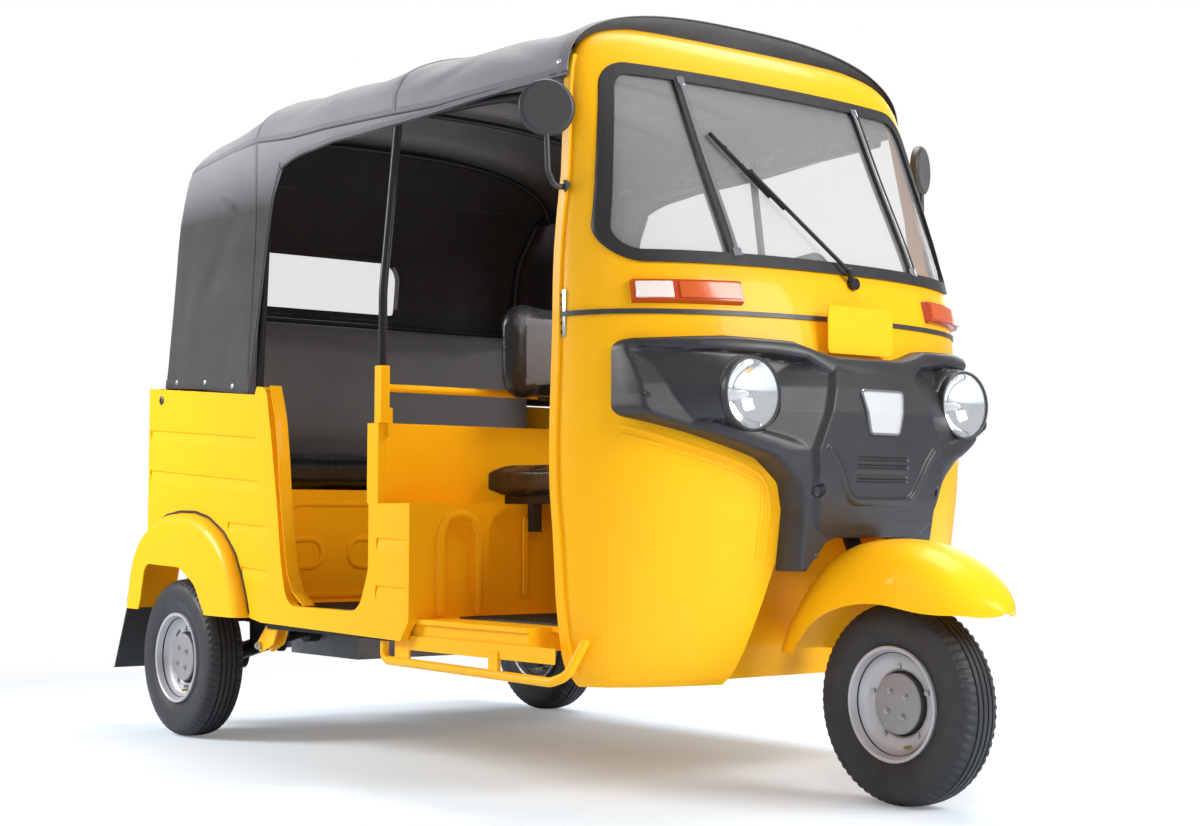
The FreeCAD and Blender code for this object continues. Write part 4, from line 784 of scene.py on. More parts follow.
def hood_at(y, z):
    """The spot on the hood's rear wall."""
    return hood_points([(HOOD_FAN_X, y, z)], [(-1, 0, 0)])[0]


def hood_normals(points):
    points = np.asarray(points, float)
    steps = 1e-4 * np.eye(3)
    out = np.column_stack([hood_excess(points + step) - hood_excess(points - step) for step in steps])
    return out / np.maximum(np.linalg.norm(out, axis=1), 1e-9)[:, None]


def eave_angle(x):
    """The angle from upright, seen from the core line, at which the roof's lower edge lies."""
    edge_z = HOOD_EAVE_Z if x < CURTAIN_X else along_line(EAVE_EDGE, x)
    return math.atan2(float(np.interp(x, HOOD_X, HOOD_HALF)), edge_z - HOOD_CORE_Z)


def hood_roof():
    """The roof's points in rows from front to rear, the last ones fanned over the rear edge."""
    xs = [*np.linspace(FRONT_X, CURTAIN_X, ROOF_ROWS), *np.linspace(CURTAIN_X, HOOD_FAN_X, BACK_ROWS)[1:]]
    lean = math.atan2(HOOD_FAN_X - FAN_END_X, HOOD_EAVE_Z - HOOD_CORE_Z)
    rows = [(x, 0.0) for x in xs] + [(HOOD_FAN_X, lean * k / FAN_ROWS) for k in range(1, FAN_ROWS + 1)]
    centres, directions = [], []
    for x, back in rows:
        limit = eave_angle(x)
        for k in range(-HALF_COLUMNS, HALF_COLUMNS + 1):
            centres.append((x, 0, HOOD_CORE_Z))
            directions.append((-math.tan(back), math.tan(limit * k / HALF_COLUMNS), 1))
    return hood_points(centres, directions), len(rows), 2 * HALF_COLUMNS + 1


def hood_curtain(roof, rows, columns):
    """The roof's edge points that the curtain hangs from, and the curtain's rows down to the hem."""
    first = ROOF_ROWS - 1
    right = [i * columns for i in range(first, rows)]
    across = [(rows - 1) * columns + j for j in range(1, columns - 1)]
    left = [i * columns + columns - 1 for i in reversed(range(first, rows))]
    path = right + across + left
    centres, directions = [], []
    for level in range(1, DOWN_ROWS + 1):
        for x, y, top_z in roof[path]:
            z = top_z + (hem_height(x) - top_z) * level / DOWN_ROWS
            if x > HOOD_FAN_X + 1e-6:
                part = (x - CURTAIN_X) / (HOOD_FAN_X - CURTAIN_X)
                edge_x = along_line(CURTAIN_EDGE, z)
                centres.append((edge_x + part * (HOOD_FAN_X - edge_x), 0, z))
                directions.append((0, math.copysign(1, y), 0))
            else:
                centres.append((HOOD_FAN_X, 0, z))
                directions.append((x - HOOD_FAN_X, y, 0))
    return path, hood_points(centres, directions)


def cut_window(points, faces):
    """Opens the rear window's hole and draws the cloth's edge onto its outline."""
    depth, spot = outline_distance(rounded_outline(WINDOW), points[:, 1:])
    gone = (points[:, 0] < -1.0) & (depth > -.004)
    keep = [face for face in faces if not all(gone[face])]
    kept = {k for face in keep for k in face}
    for k in kept & {k for face in faces if all(gone[face]) for k in face}:
        points[k] = hood_at(*spot[k])
    order = {old: new for new, old in enumerate(sorted(kept))}
    return points[sorted(kept)], [[order[k] for k in face] for face in keep]


def make_hood():
    roof, rows, columns = hood_roof()
    path, curtain = hood_curtain(roof, rows, columns)
    faces = grid_faces(rows, columns)
    start = len(roof)
    faces += [[start + j, start + j + 1, path[j + 1], path[j]] for j in range(len(path) - 1)]
    faces += [list(reversed(face)) for face in grid_faces(DOWN_ROWS, len(path), start=start)]
    shape = Shape()
    shape.add(*cut_window(np.vstack([roof, curtain]), faces))
    hood = put("hood_cloth", shape, "canopy_fabric", angle=60, weld=1e-5)
    thick = hood.modifiers.new("thick", "SOLIDIFY")
    thick.thickness = HOOD_THICK
    thick.offset = -1
    apply_modifiers(hood)
    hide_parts("canopy")
    make_hood_trim()


def apply_modifiers(made):
    graph = bpy.context.evaluated_depsgraph_get()
    graph.update()
    mesh = bpy.data.meshes.new_from_object(made.evaluated_get(graph), depsgraph=graph)
    old = made.data
    made.modifiers.clear()
    made.data = mesh
    bpy.data.meshes.remove(old)


def side_spots(line, s, count):
    """Points on the hood's side along (x, z) pairs, evenly spread."""
    return hood_points([(x, 0, z) for x, z in even_line(line, count=count)], [(0, s, 0)] * count)


def hem_line():
    """Round the hood's hem from the right curtain's front corner to the left one's."""
    points = []
    for s in SIDES:
        whole = list(side_spots([HEM[3], HEM[2]], s, 24))
        for turn in np.linspace(0, 1, 60):
            direction = (-math.sin(turn * math.pi / 2) * .9, s * math.cos(turn * math.pi / 2), 0)
            first = hood_points([(HOOD_FAN_X, 0, HEM_NEAR_Z)], [direction])[0]
            whole += list(hood_points([(HOOD_FAN_X, 0, hem_height(first[0]))], [direction]))
        points += whole if s == -1 else whole[::-1][1:]
    return points


TAPE_STEP, STITCH_STEP, PIPING_STEP = .010, .0045, .012
STITCH_HALF, STITCH_R = .0014, .0004
EDGE_PIPING_R, HEM_PIPING_R = .0030, .0032
# Each tape's width, thickness and, where it is sewn, how far its stitches are from its middle
SEAM_TAPE, REAR_TAPE = (.016, .0016, .005), (.014, .0014, .0045)
WALL_TAPE, HEM_TAPE = (.015, .0015, .0047), (.020, .0014, .007)
CURTAIN_TAPE, EAVE_TAPE, WINDOW_TAPE = (.018, .0015), (.016, .0015), (.030, .0020)
# The tapes over the roof: place along X and width
ROOF_TAPES, ROOF_TAPE_THICK = ((.557, .030), (0.0, .015), (-.613, .015)), .0016
REAR_SEAM = ((-.613, 1.541), (-.610, 1.265), (-.628, .900))
CURTAIN_FRONT = ((-.487, 1.450), (-.523, 1.385), (-.551, 1.272), (-.585, 1.053), (-.618, .892))
WALL_TAPE_Z = 1.500
SNAPS_AT, SNAP_LIFT = ((-1.02, .940), (-.849, .931), (-.70, .914)), .0012
RIVET_AT, RIVET_LIFT = (.548, 1.545), .002
SNAP = [(.0075, 0), (.007, .0018), (.004, .0026), (0, .0022)]
RIVET = [(.006, 0), (.005, .0022), (0, .003)]


def lay(trim, points, width, thick, stitch=0.0):
    """A tape on the hood along a line, with a row of stitches at that distance each side if asked."""
    points = even_line(points, TAPE_STEP)
    ribbon(trim["tapes"], points, hood_normals(points), width, thick)
    if not stitch:
        return
    row = even_line(points, STITCH_STEP)
    normals = hood_normals(row)
    for side in (-stitch, stitch):
        for i in range(0, len(row) - 1, 2):
            ahead = Vector(row[i + 1] - row[i]).normalized()
            normal = Vector(normals[i])
            at = Vector(row[i]) + ahead.cross(normal) * side + normal * thick
            half = ahead * STITCH_HALF
            bar(trim["stitches"], [at - half, at + half], STITCH_R, 4)


def add_snap(trim, x, z, s, lift, profile, count):
    spot = hood_points([(x, 0, z)], [(0, s, 0)])
    normal = Vector(hood_normals(spot)[0])
    lathe(trim["snaps"], Vector(spot[0]) + normal * lift, normal, profile, count)


def trim_side(trim, s):
    """The seams, edges, piping and snaps of one side."""
    lay(trim, side_spots(SEAM, s, 160), *SEAM_TAPE)
    lay(trim, side_spots(REAR_SEAM, s, 70), *REAR_TAPE)
    lay(trim, side_spots(CURTAIN_FRONT, s, 70), *CURTAIN_TAPE)
    lay(trim, side_spots([(x, z + .004) for x, z in EAVE_EDGE], s, 120), *EAVE_TAPE)
    edge = [(-.617, .892), *CURTAIN_FRONT[3:0:-1], (-.502, 1.43), *EAVE_EDGE]
    bar(trim["piping"], even_line(side_spots(edge, s, 170), PIPING_STEP), EDGE_PIPING_R, 8)
    for x, z in SNAPS_AT:
        add_snap(trim, x, z, s, SNAP_LIFT, SNAP, 18)
    add_snap(trim, *RIVET_AT, s, RIVET_LIFT, RIVET, 16)


def trim_roof(trim):
    """The tapes over the roof and round the rear wall."""
    for x, width in ROOF_TAPES:
        limit = eave_angle(x) if x > 0 else math.atan2(.59, 1.52 - HOOD_CORE_Z)
        turns = np.linspace(-limit, limit, 160)
        over = hood_points([(x, 0, HOOD_CORE_Z)] * 160, [(0, math.sin(t), math.cos(t)) for t in turns])
        lay(trim, over, width, ROOF_TAPE_THICK, width * .33)
    lay(trim, [hood_points([(HOOD_FAN_X, 0, WALL_TAPE_Z)], [(-math.sin(t), math.cos(t), 0)])[0]
               for t in np.linspace(.25, math.pi - .25, 150)], *WALL_TAPE)


def make_hood_trim():
    trim = {name: Shape() for name in ("tapes", "stitches", "piping", "snaps")}
    for s in SIDES:
        trim_side(trim, s)
    trim_roof(trim)
    hem = hem_line()
    lay(trim, [p + np.array([0, 0, .011]) for p in hem], *HEM_TAPE)
    bar(trim["piping"], even_line(hem, PIPING_STEP), HEM_PIPING_R, 8)
    window = even_loop([hood_at(y, z) for y, z in rounded_outline(WINDOW)], PIPING_STEP)
    ribbon(trim["tapes"], window, hood_normals(window), *WINDOW_TAPE, closed=True)
    pieces = [put("hood_tapes", trim["tapes"], "canopy_fabric", "hood_tape", angle=50),
              put("hood_stitches", trim["stitches"], "canopy_fabric", "thread"),
              put("hood_piping", trim["piping"], "canopy_fabric", "hood_tape", angle=50)]
    put("hood_snaps", trim["snaps"], "silver_paint", "steel")
    return pieces


# Tyres: half the section as (distance from the middle, radius)

TREAD = [(0.0, .2070), (.0048, .2070), (.0056, .2020), (.0088, .2020), (.0096, .2068), (.0186, .2062),
         (.0196, .2005), (.0226, .2005), (.0236, .2056), (.0300, .2045), (.0370, .2022), (.0415, .1992)]
SIDEWALL = [(.0448, .1962), (.0470, .1925), (.0474, .1905), (.0488, .1890), (.0508, .1830), (.0526, .1720),
            (.0530, .1620), (.0524, .1520), (.0506, .1420), (.0492, .1385), (.0494, .1370), (.0478, .1330),
            (.0450, .1265), (.0432, .1215), (.0436, .1198), (.0418, .1170), (.0380, .1120), (.0370, .1030)]
TYRE_COLUMNS = 264
# The notches on the shoulders: from and to across the tyre, above which radius, how deep and how slanted
SHOULDER, SHOULDER_R, NOTCH_DEEP, NOTCH_SLANT = (.0245, .0450), .194, .0034, .012


def solid_box(node_name):
    """The plain solid's low and high corner."""
    return [np.array(corner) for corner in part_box(node_name)]


def make_tyre(node_name, body):
    """A road tyre: three-groove tread with notched shoulders, over the plain solid's form."""
    centre = sum(solid_box(node_name)) / 2
    half = TREAD + SIDEWALL
    profile = [(-y, r) for y, r in reversed(half[1:])] + half
    points = []
    for y, r in profile:
        shoulder = SHOULDER[0] < abs(y) < SHOULDER[1] and r > SHOULDER_R
        lead = NOTCH_SLANT * (abs(y) - .0236) / .02 if shoulder else 0.0
        for k in range(TYRE_COLUMNS):
            reach = r - (NOTCH_DEEP if shoulder and k % 4 in (2, 3) else 0.0)
            points.append(centre + on_circle(reach, 2 * math.pi * k / TYRE_COLUMNS + lead, y))
    shape = Shape()
    shape.add(points, grid_faces(len(profile), TYRE_COLUMNS, close_rows=True, close_columns=True))
    put(node_name + "_tread", shape, "tyre_rubber", body=body, angle=28, weld=1e-6, stands_for=node_name)


# Pads, made from the plain solids' own forms and blown up as cloth

PUFF_START = .0035
PUFF_FRAMES = 18
PUFF = {"quality": 5, "use_pressure": True, "uniform_pressure_force": 4.0, "tension_stiffness": 12,
        "compression_stiffness": 12, "bending_stiffness": 0.4}


def puff(made, cap, voxel):
    """Remeshes the pad evenly, blows it up as cloth with no point further than cap, and keeps the result."""
    remesh = made.modifiers.new("remesh", "REMESH")
    remesh.mode = "VOXEL"
    remesh.voxel_size = voxel
    apply_modifiers(made)
    start = read_points(made.data) - np.array([v.normal[:] for v in made.data.vertices]) * PUFF_START
    write_points(made.data, start)
    cloth = made.modifiers.new("cloth", "CLOTH")
    for name, value in PUFF.items():
        setattr(cloth.settings, name, value)
    cloth.settings.effector_weights.gravity = 0.0
    cloth.point_cache.frame_start = 1
    cloth.point_cache.frame_end = PUFF_FRAMES
    for step in range(1, PUFF_FRAMES + 1):
        bpy.context.scene.frame_set(step)
    apply_modifiers(made)
    bpy.context.scene.frame_set(1)
    move = read_points(made.data) - start
    move *= np.minimum(1, cap / np.maximum(np.linalg.norm(move, axis=1), 1e-9))[:, None]
    write_points(made.data, start + move)


def make_pad(node_name, finishes, cap, voxel=.010, spare=(.002, .002, .002)):
    """One pad, whose box is the plain solid's with spare added each way."""
    made = copy_solid(node_name + "_vinyl", node_name)
    puff(made, cap, voxel)
    finer = made.modifiers.new("finer", "SUBSURF")
    finer.levels = 1
    finer.render_levels = 1
    apply_modifiers(made)
    low, high = solid_box(node_name)
    low, high = low - spare, high + spare
    points = read_points(made.data)
    now_low, now_high = points.min(axis=0), points.max(axis=0)
    write_points(made.data, low + (points - now_low) / (now_high - now_low) * (high - low))
    for finish in finishes:
        made.data.materials.append(FINISH[finish])
    settle(made, "body", 60, node_name)
    return made


# How far the pale middle panel of the driver's backrest stays inside its edges, across (1) and up (2)
PANEL_INSET = {1: .035, 2: .030}


def make_pads():
    make_pad("rear_cushion", ["seat_vinyl"], .022, .012)
    make_pad("rear_backrest", ["grey_vinyl"], .018, .012)
    make_pad("driver_seat", ["seat_vinyl"], .018, spare=(.004, .014, .004))
    back = make_pad("driver_backrest", ["seat_vinyl", "grey_vinyl"], .014, .008, (.004, .012, .004))
    low, high = solid_box("driver_backrest")
    for face in back.data.polygons:
        inner = all(low[i] + inset < face.center[i] < high[i] - inset for i, inset in PANEL_INSET.items())
        if abs(face.normal[0]) > .75 and inner:
            face.material_index = 1


# Wheels: half the rim's section as (radius, distance from the middle)

RIM_FACE = [(.1176, .0440), (.1182, .0488), (.1170, .0508), (.1140, .0512), (.1105, .0496), (.1085, .0462),
            (.1060, .0400), (.1020, .0318), (.0970, .0240), (.0930, .0205), (.0880, .0190), (.0800, .0186),
            (.0722, .0180), (.0690, .0165), (.0660, .0130), (.0645, .0080), (.0632, .0080), (.0625, .0150),
            (.0620, .0262), (.0605, .0290), (.0570, .0302), (.0300, .0308), (.0150, .0312), (.0, .0312)]
# Faces between HUB_R and GAP_R, in the groove round the hub plate, are painted black as painted shade.
HUB_R, GAP_R = .0622, .0655
# Each set of fasteners: count, first angle, radius, distance from the middle and profile
WHEEL_BOLTS = ((4, 33, .030, .0300,
                [(.0068, 0), (.0068, .0042), (.0058, .0052), (.0036, .0052), (.0034, .0080), (0, .0082)]),
               (5, 20, .0765, .0178,
                [(.0062, 0), (.0062, .0050), (.0050, .0060), (.0030, .0060), (0, .0082)]))
SLOT_STEPS = 12
SLOT_R = (.0740, .0815)
SLOT_OUT = .0191


def rim_slots(shape, centre, side):
    """Five flat dark patches between the rim's bolts: painted shade standing in for the slots."""
    for k in range(5):
        turns = [math.radians(20 + 72 * k + 26 + 20 * i / SLOT_STEPS) for i in range(SLOT_STEPS + 1)]
        points = [centre + on_circle(reach, turn, side * SLOT_OUT) for reach in SLOT_R for turn in turns]
        faces = grid_faces(2, SLOT_STEPS + 1)
        shape.add(points, faces if side < 0 else [face[::-1] for face in faces])


def make_rim(node_name, body):
    """A pressed steel wheel with a hub plate, nuts, bolts and a valve, a black ring of painted shade round
    the hub plate, and painted dark slots on the rear ones.
    """
    centre = sum(solid_box(node_name)) / 2
    slotted = node_name != "front_rim"
    shell, studs, dark, valve = Shape(), Shape(), Shape(), Shape()
    lathe(shell, centre, (0, 1, 0), [(r, -d) for r, d in reversed(RIM_FACE)] + RIM_FACE, 96)
    made = put(node_name + "_pressed", shell, "silver_paint", body=body, angle=30, weld=1e-6,
               stands_for=node_name)
    made.data.materials.append(FINISH["hub_grey"])
    # The third finish is the painted shade in the groove round the hub plate.
    made.data.materials.append(FINISH["black_plastic"])
    for face in made.data.polygons:
        away = Vector(face.center) - Vector(centre)
        span = math.hypot(away.x, away.z)
        if span < GAP_R:
            face.material_index = 1 if span < HUB_R else 2
    for side in SIDES:
        for count, first, radius, out, profile in WHEEL_BOLTS:
            for k in range(count):
                spot = centre + on_circle(radius, math.radians(first + 360 // count * k), side * out)
                lathe(studs, spot, (0, side, 0), profile, 6)
        if slotted:
            rim_slots(dark, centre, side)
        at = centre + np.array([.026, side * .017, -.085])
        bends = np.array([(0, 0, 0), (.001, side * .012, .0005), (.003, side * .026, .001)])
        bar(valve, at + bends, [.0042, .0036, .0030])
    put(node_name + "_studs", studs, "silver_paint", "steel", body)
    # The slots are black patches of painted shade on the closed rim.
    if slotted:
        put(node_name + "_slots", dark, "black_plastic", body=body)
    put(node_name + "_valve", valve, "silver_paint", "brass", body)


# Things fixed on the cab's skin and inside the cabin

WIPER_BLADE = ((-.232, 1.400), (-.128, 1.262))
SCREEN_BAR = ((.266, 1.122), (.266, 1.528))
PATCH_EDGE = .004
HOUSING_Y = (.484, .274)
CLEAR_Y = (.478, .412)
AMBER_Y = (.408, .280)
INDICATOR_Z, LENS_Z = (1.0160, 1.0660), (1.0210, 1.0610)
PLATE_X, PLATE_MIDDLE_X, PLATE_Z, PLATE_HALF = (.604, .629), .616, (.952, 1.050), .0015
SPOT_Z, SPOT_STEP = .963, .019
BADGE = [(-.0625, .847, .009), (.0625, .847, .009), (.042, .757, .009), (-.042, .757, .009)]
BADGE_RINGS = (1.0, .8, .6, .4, .2)
PLATE_SPOT = [(.0038, 0), (.0030, .0006), (0, .0008)]
# Where the plate's seat on the cab is measured, and the lock's (x, z)
PLATE_PROBES_Z = (.958, 1.046)
LOCK_SPOT = (-1.09, .895)
LOCK = [(.012, 0), (.012, .002), (.009, .0035), (.0055, .0035), (.005, .0015), (0, .0015)]
# The rear arch's outer line: x from the axle and height, in millimetres
ARCH_LINE = ((-290, 356), (-274, 427), (-247, 486), (-208, 527), (-165, 553), (-102, 577), (-24, 587),
             (64, 586), (140, 572), (224, 534), (286, 482), (326, 417), (349, 366), (362, 324))
REAR_AXLE_X = -.9445
# How far outside that line the gasket is looked for, where it lies, and between which widths
GASKET_OUT, GASKET_Y, GASKET_REACH = .0055, .6195, (.55, .630)
# Outlines as (across, height, corner radius): the seat front's recess, then the bracket, as (x, z, radius)
SEAT_PRESS = [(-.500, .614, .030), (-.495, .522, .012), (-.400, .524, .034), (-.400, .452, .034),
              (-.480, .450, .012), (-.462, .378, .020), (-.258, .378, .020), (-.240, .450, .012),
              (-.320, .452, .034), (-.320, .524, .034), (-.225, .522, .012), (-.220, .614, .030)]
BRACKET = [(-.548, .312), (-.492, .312), (-.520, .262, .012), (-.585, .236, .016), (-.600, .262, .012)]
BRACKET_SIDES = (.552, .582)
BRACKET_THICK = .004
BOLT_X = -.583
BOLT_Z = .256
# The bolt's inner end, its nut and its outer end
BOLT_Y = (.550, .587, .588)
BRACKET_NUT = [(.011, 0), (.011, .007), (.009, .009), (.0055, .009), (.005, .013), (0, .013)]
# The passenger opening's rear edge as (x, z), and a niche in the wall behind the driver as (y, z)
DOOR_EDGE = [(-.497, .905), (-.482, .867), (-.466, .821), (-.450, .729), (-.438, .631), (-.417, .519),
             (-.401, .445), (-.371, .396), (-.319, .366)]
NICHE = [(.535, .362), (.535, .545), (.520, .578), (.483, .590), (.446, .578), (.431, .545), (.431, .362)]
WALL_X = .1485
NICHE_POSTS_Y = (.30, .20)
NICHE_POSTS_Z = (.40, .58)
# Each mat's start, end, half width and top, then its ribs' count, start, step, half width, foot and top
FLOOR_MATS = ((-.575, -.03, .545, .3595), (.175, .66, .50, .3590))
FLOOR_RIBS = ((34, -.56, .0158, .535, .3592, .3612), (28, .19, .0165, .49, .3588, .3606))
MAT_FOOT, RIB_WIDE = .3552, .006


def tree_of(*names):
    points, faces = [], []
    for name in names:
        source = NODES[name]
        start = len(points)
        points += [source.matrix_world @ v.co for v in source.data.vertices]
        faces += [[start + k for k in face.vertices] for face in source.data.polygons]
    return BVHTree.FromPolygons(points, faces)


def seen_from(tree, at, direction):
    """Where a ray meets the solids and which way the surface faces, or None twice."""
    hit, normal, index, reach = tree.ray_cast(Vector(at), Vector(direction))
    if hit is None:
        return None, None
    return hit, normal if normal.dot(Vector(direction)) < 0 else -normal


def seen_ahead(tree, y, z, start=2.0):
    return seen_from(tree, (start, y, z), (-1, 0, 0))


def seen_beside(tree, x, z, s):
    return seen_from(tree, (x, s * 2, z), (0, -s, 0))


def lay_ahead(tree, spots, start=2.0, least=-9.0):
    """The (y, z) spots as they lie on the solids seen from ahead, and which way the surface faces."""
    found = [seen_ahead(tree, y, z, start) for y, z in spots]
    found = [(hit, normal) for hit, normal in found if hit and hit[0] > least]
    return [hit for hit, normal in found], [normal for hit, normal in found]


def between(ends, t):
    return np.array(ends[0]) + (np.array(ends[1]) - np.array(ends[0])) * t


def patch(shape, tree, ys, zs, lift, rows=10, columns=26):
    """A thin lens that lies on the surface seen from ahead, with its edges turned down."""
    points = []
    for i in range(rows + 1):
        for j in range(columns + 1):
            y = ys[0] + (ys[1] - ys[0]) * j / columns
            z = zs[0] + (zs[1] - zs[0]) * i / rows
            hit, normal = seen_ahead(tree, y, z)
            inset = min(abs(y - ys[0]), abs(y - ys[1]), abs(z - zs[0]), abs(z - zs[1]))
            rise = lift * math.sqrt(min(1.0, inset / PATCH_EDGE)) - .0015 * (inset < 1e-6)
            points.append(hit + normal * rise)
    shape.add(points, grid_faces(rows + 1, columns + 1))


def make_indicators():
    tree = tree_of("cab_shell_upper")
    housing, clear, amber = Shape(), Shape(), Shape()
    for s in SIDES:
        patch(housing, tree, (s * HOUSING_Y[0], s * HOUSING_Y[1]), INDICATOR_Z, .0150, 14, 40)
        patch(clear, tree, (s * CLEAR_Y[0], s * CLEAR_Y[1]), LENS_Z, .0195)
        patch(amber, tree, (s * AMBER_Y[0], s * AMBER_Y[1]), LENS_Z, .0185)
    put("indicator_housings", housing, "amber_plastic", stands_for="front_indicators")
    put("indicator_clear_lenses", clear, "lamp_glass", "clear_plastic")
    put("indicator_amber_lenses", amber, "amber_plastic", "amber_lens")


def make_badge():
    """The blank badge: a slightly domed plate in a bright rim."""
    plate, rim = Shape(), Shape()
    outline = even_loop(rounded_outline(BADGE, 5), .004)
    edge = np.column_stack([face_height(*outline.T) + .0005, outline])
    ribbon(rim, edge, AHEAD, .0062, .0058, closed=True)
    middle = outline.mean(axis=0)
    points, count, rings = [], len(outline), len(BADGE_RINGS)
    for t in BADGE_RINGS:
        flat = middle + (outline - middle) * t
        points += list(np.column_stack([face_height(*flat.T) + .0022 + .0008 * (1 - t), flat]))
    points.append((face_at(*middle) + .0032, *middle))
    inner = (rings - 1) * count
    faces = grid_faces(rings, count, close_columns=True)
    faces += [[inner + k, inner + (k + 1) % count, rings * count] for k in range(count)]
    plate.add(points, faces)
    put("badge_plate", plate, "silver_paint", "badge_grey", angle=60, weld=1e-6)
    put("badge_rim", rim, "mirror_face", "chrome", angle=40)


def make_cab_trim():
    """The plate on the cab's door edge with five dark spots of painted shade for its holes, and the lock on
    the quarter panel.
    """
    steel, dark = Shape(), Shape()
    cab = tree_of("cab_shell_upper", "cab_shell_lower", "belt_trim")
    for s in SIDES:
        places = [seen_beside(cab, PLATE_MIDDLE_X, z, s)[0] for z in PLATE_PROBES_Z]
        out = max(abs(place.y) for place in places if place)
        middle = s * (out - .0005)
        low = (PLATE_X[0], middle - PLATE_HALF, PLATE_Z[0])
        high = (PLATE_X[1], middle + PLATE_HALF, PLATE_Z[1])
        block(steel, low, high, .001)
        # The five dark discs are painted shade standing in for the plate's holes.
        for k in range(5):
            at = (PLATE_MIDDLE_X, s * (out + .0010), SPOT_Z + SPOT_STEP * k)
            lathe(dark, at, (0, s, 0), PLATE_SPOT, 12)
    panels = tree_of("side_panels")
    for s in SIDES:
        hit, normal = seen_beside(panels, *LOCK_SPOT, s)
        if hit:
            lathe(dark, hit, normal, LOCK, 20)
    put("door_edge_plates", steel, "silver_paint", "steel")
    put("door_edge_holes", dark, "black_plastic")


def make_screen_strips():
    """Bright filler strips beside the windscreen's two upright bars, laid on the glass."""
    strips, clips = Shape(), Shape()
    tree = tree_of("windscreen_glass", "windscreen_seal")
    for s in SIDES:
        line, normals = lay_ahead(tree, [between(SCREEN_BAR, k / 24) * (s, 1) for k in range(25)])
        ribbon(strips, line, normals, .0085, .0022)
        for end in (slice(0, 2), slice(-2, None)):
            ribbon(clips, line[end], normals[end], .019, .005)
    put("screen_bar_strips", strips, "mirror_face", "chrome", angle=40)
    put("screen_bar_clips", clips, "mirror_face", "chrome", angle=40)


def make_arch_line():
    """The black gasket along the outer line of each rear arch."""
    shape = Shape()
    tree = tree_of("side_panels", "rear_arches")
    flat = even_line([(REAR_AXLE_X + dx / 1000, z / 1000) for dx, z in ARCH_LINE], .012)
    for s in SIDES:
        line = []
        for i, (x, z) in enumerate(flat):
            ahead = heading(flat, i) / np.hypot(*heading(flat, i))
            hit, normal = seen_beside(tree, x - ahead[1] * GASKET_OUT, z + ahead[0] * GASKET_OUT, s)
            if hit and GASKET_REACH[0] < abs(hit[1]) < GASKET_REACH[1]:
                line.append((hit[0], s * GASKET_Y, hit[2]))
        ribbon(shape, line, (0, s, 0), .007, .0025)
    put("arch_gaskets", shape, "seal_rubber")


def make_repainted(node_name, finishes, choose=None):
    """The plain solid's own form with other finishes, chosen by each face's middle."""
    made = copy_solid(node_name + "_painted", node_name)
    for finish in finishes:
        made.data.materials.append(FINISH[finish])
    if choose:
        for face in made.data.polygons:
            face.material_index = choose(*face.center)
    settle(made, "body", 32, node_name)


def make_seat_base_presses():
    """Raised beads round the pressed recess and the lobes of the rear seat's front."""
    beads = Shape()
    tree = tree_of("seat_base")
    flat = even_loop(rounded_outline(SEAT_PRESS, 8), .01)
    for s in SIDES:
        line = lay_ahead(tree, [(-s * y, z) for y, z in flat], start=-.3)[0]
        if len(line) == len(flat):
            ribbon(beads, line, AHEAD, .014, .004, closed=True)
    put("seat_base_presses", beads, "yellow_paint", angle=40)


def door_return(s):
    """The line of the inward return along the passenger opening's rear edge, and which way it faces."""
    line = even_line([(x + .001, s * .6005, z) for x, z in DOOR_EDGE], .015)
    turned = [heading(line, i) for i in range(len(line))]
    return line, [(-z, 0, x) if -z > 0 else (z, 0, -x) for x, y, z in turned]


def make_pressings():
    """The returns of the rear openings, the niche surrounds behind the driver and the hanging brackets."""
    yellow, steel = Shape(), Shape()
    outline = rounded_outline(BRACKET)
    for s in SIDES:
        ribbon(yellow, *door_return(s), .033, .003)
        ribbon(yellow, even_line([(WALL_X, s * y, z) for y, z in NICHE], .006), AHEAD, .020, .0055)
        for y in NICHE_POSTS_Y:
            upright = even_line([(WALL_X, s * y, z) for z in NICHE_POSTS_Z], .02)
            ribbon(yellow, upright, AHEAD, .016, .005)
        for side in BRACKET_SIDES:
            points = [(x, s * out, z) for out in (side, side + BRACKET_THICK) for x, z in outline]
            faces = end_caps(2, len(outline)) + grid_faces(2, len(outline), close_columns=True)
            yellow.add(points, faces)
        inner, nut, outer = ((BOLT_X, s * y, BOLT_Z) for y in BOLT_Y)
        lathe(steel, nut, (0, s, 0), BRACKET_NUT, 6)
        bar(steel, [inner, outer], .005, 10)
    put("pressed_details", yellow, "yellow_paint", angle=40, weld=1e-6)
    put("bracket_bolts", steel, "silver_paint", "steel")


def make_face_surround():
    """Two pressed lines in the cab's skin, just outside the face panel's lower edge."""
    lines = Shape()
    tree = tree_of("cab_shell_lower")
    for drop in (.020, .038):
        flat = [(.505, .788 - drop), (.41, .752 - drop), (.30, .714 - drop), (.258 - drop * .3, .690 - drop),
                (.222 + drop * .6, .655 - drop * .6), (.203 + drop, .60), (.200 + drop, .50)]
        for s in SIDES:
            spots = [(s * y, z) for y, z in even_line(flat, .008)]
            ribbon(lines, *lay_ahead(tree, spots, least=.6), .009, .0022)
    put("face_surround_lines", lines, "yellow_paint", angle=50)


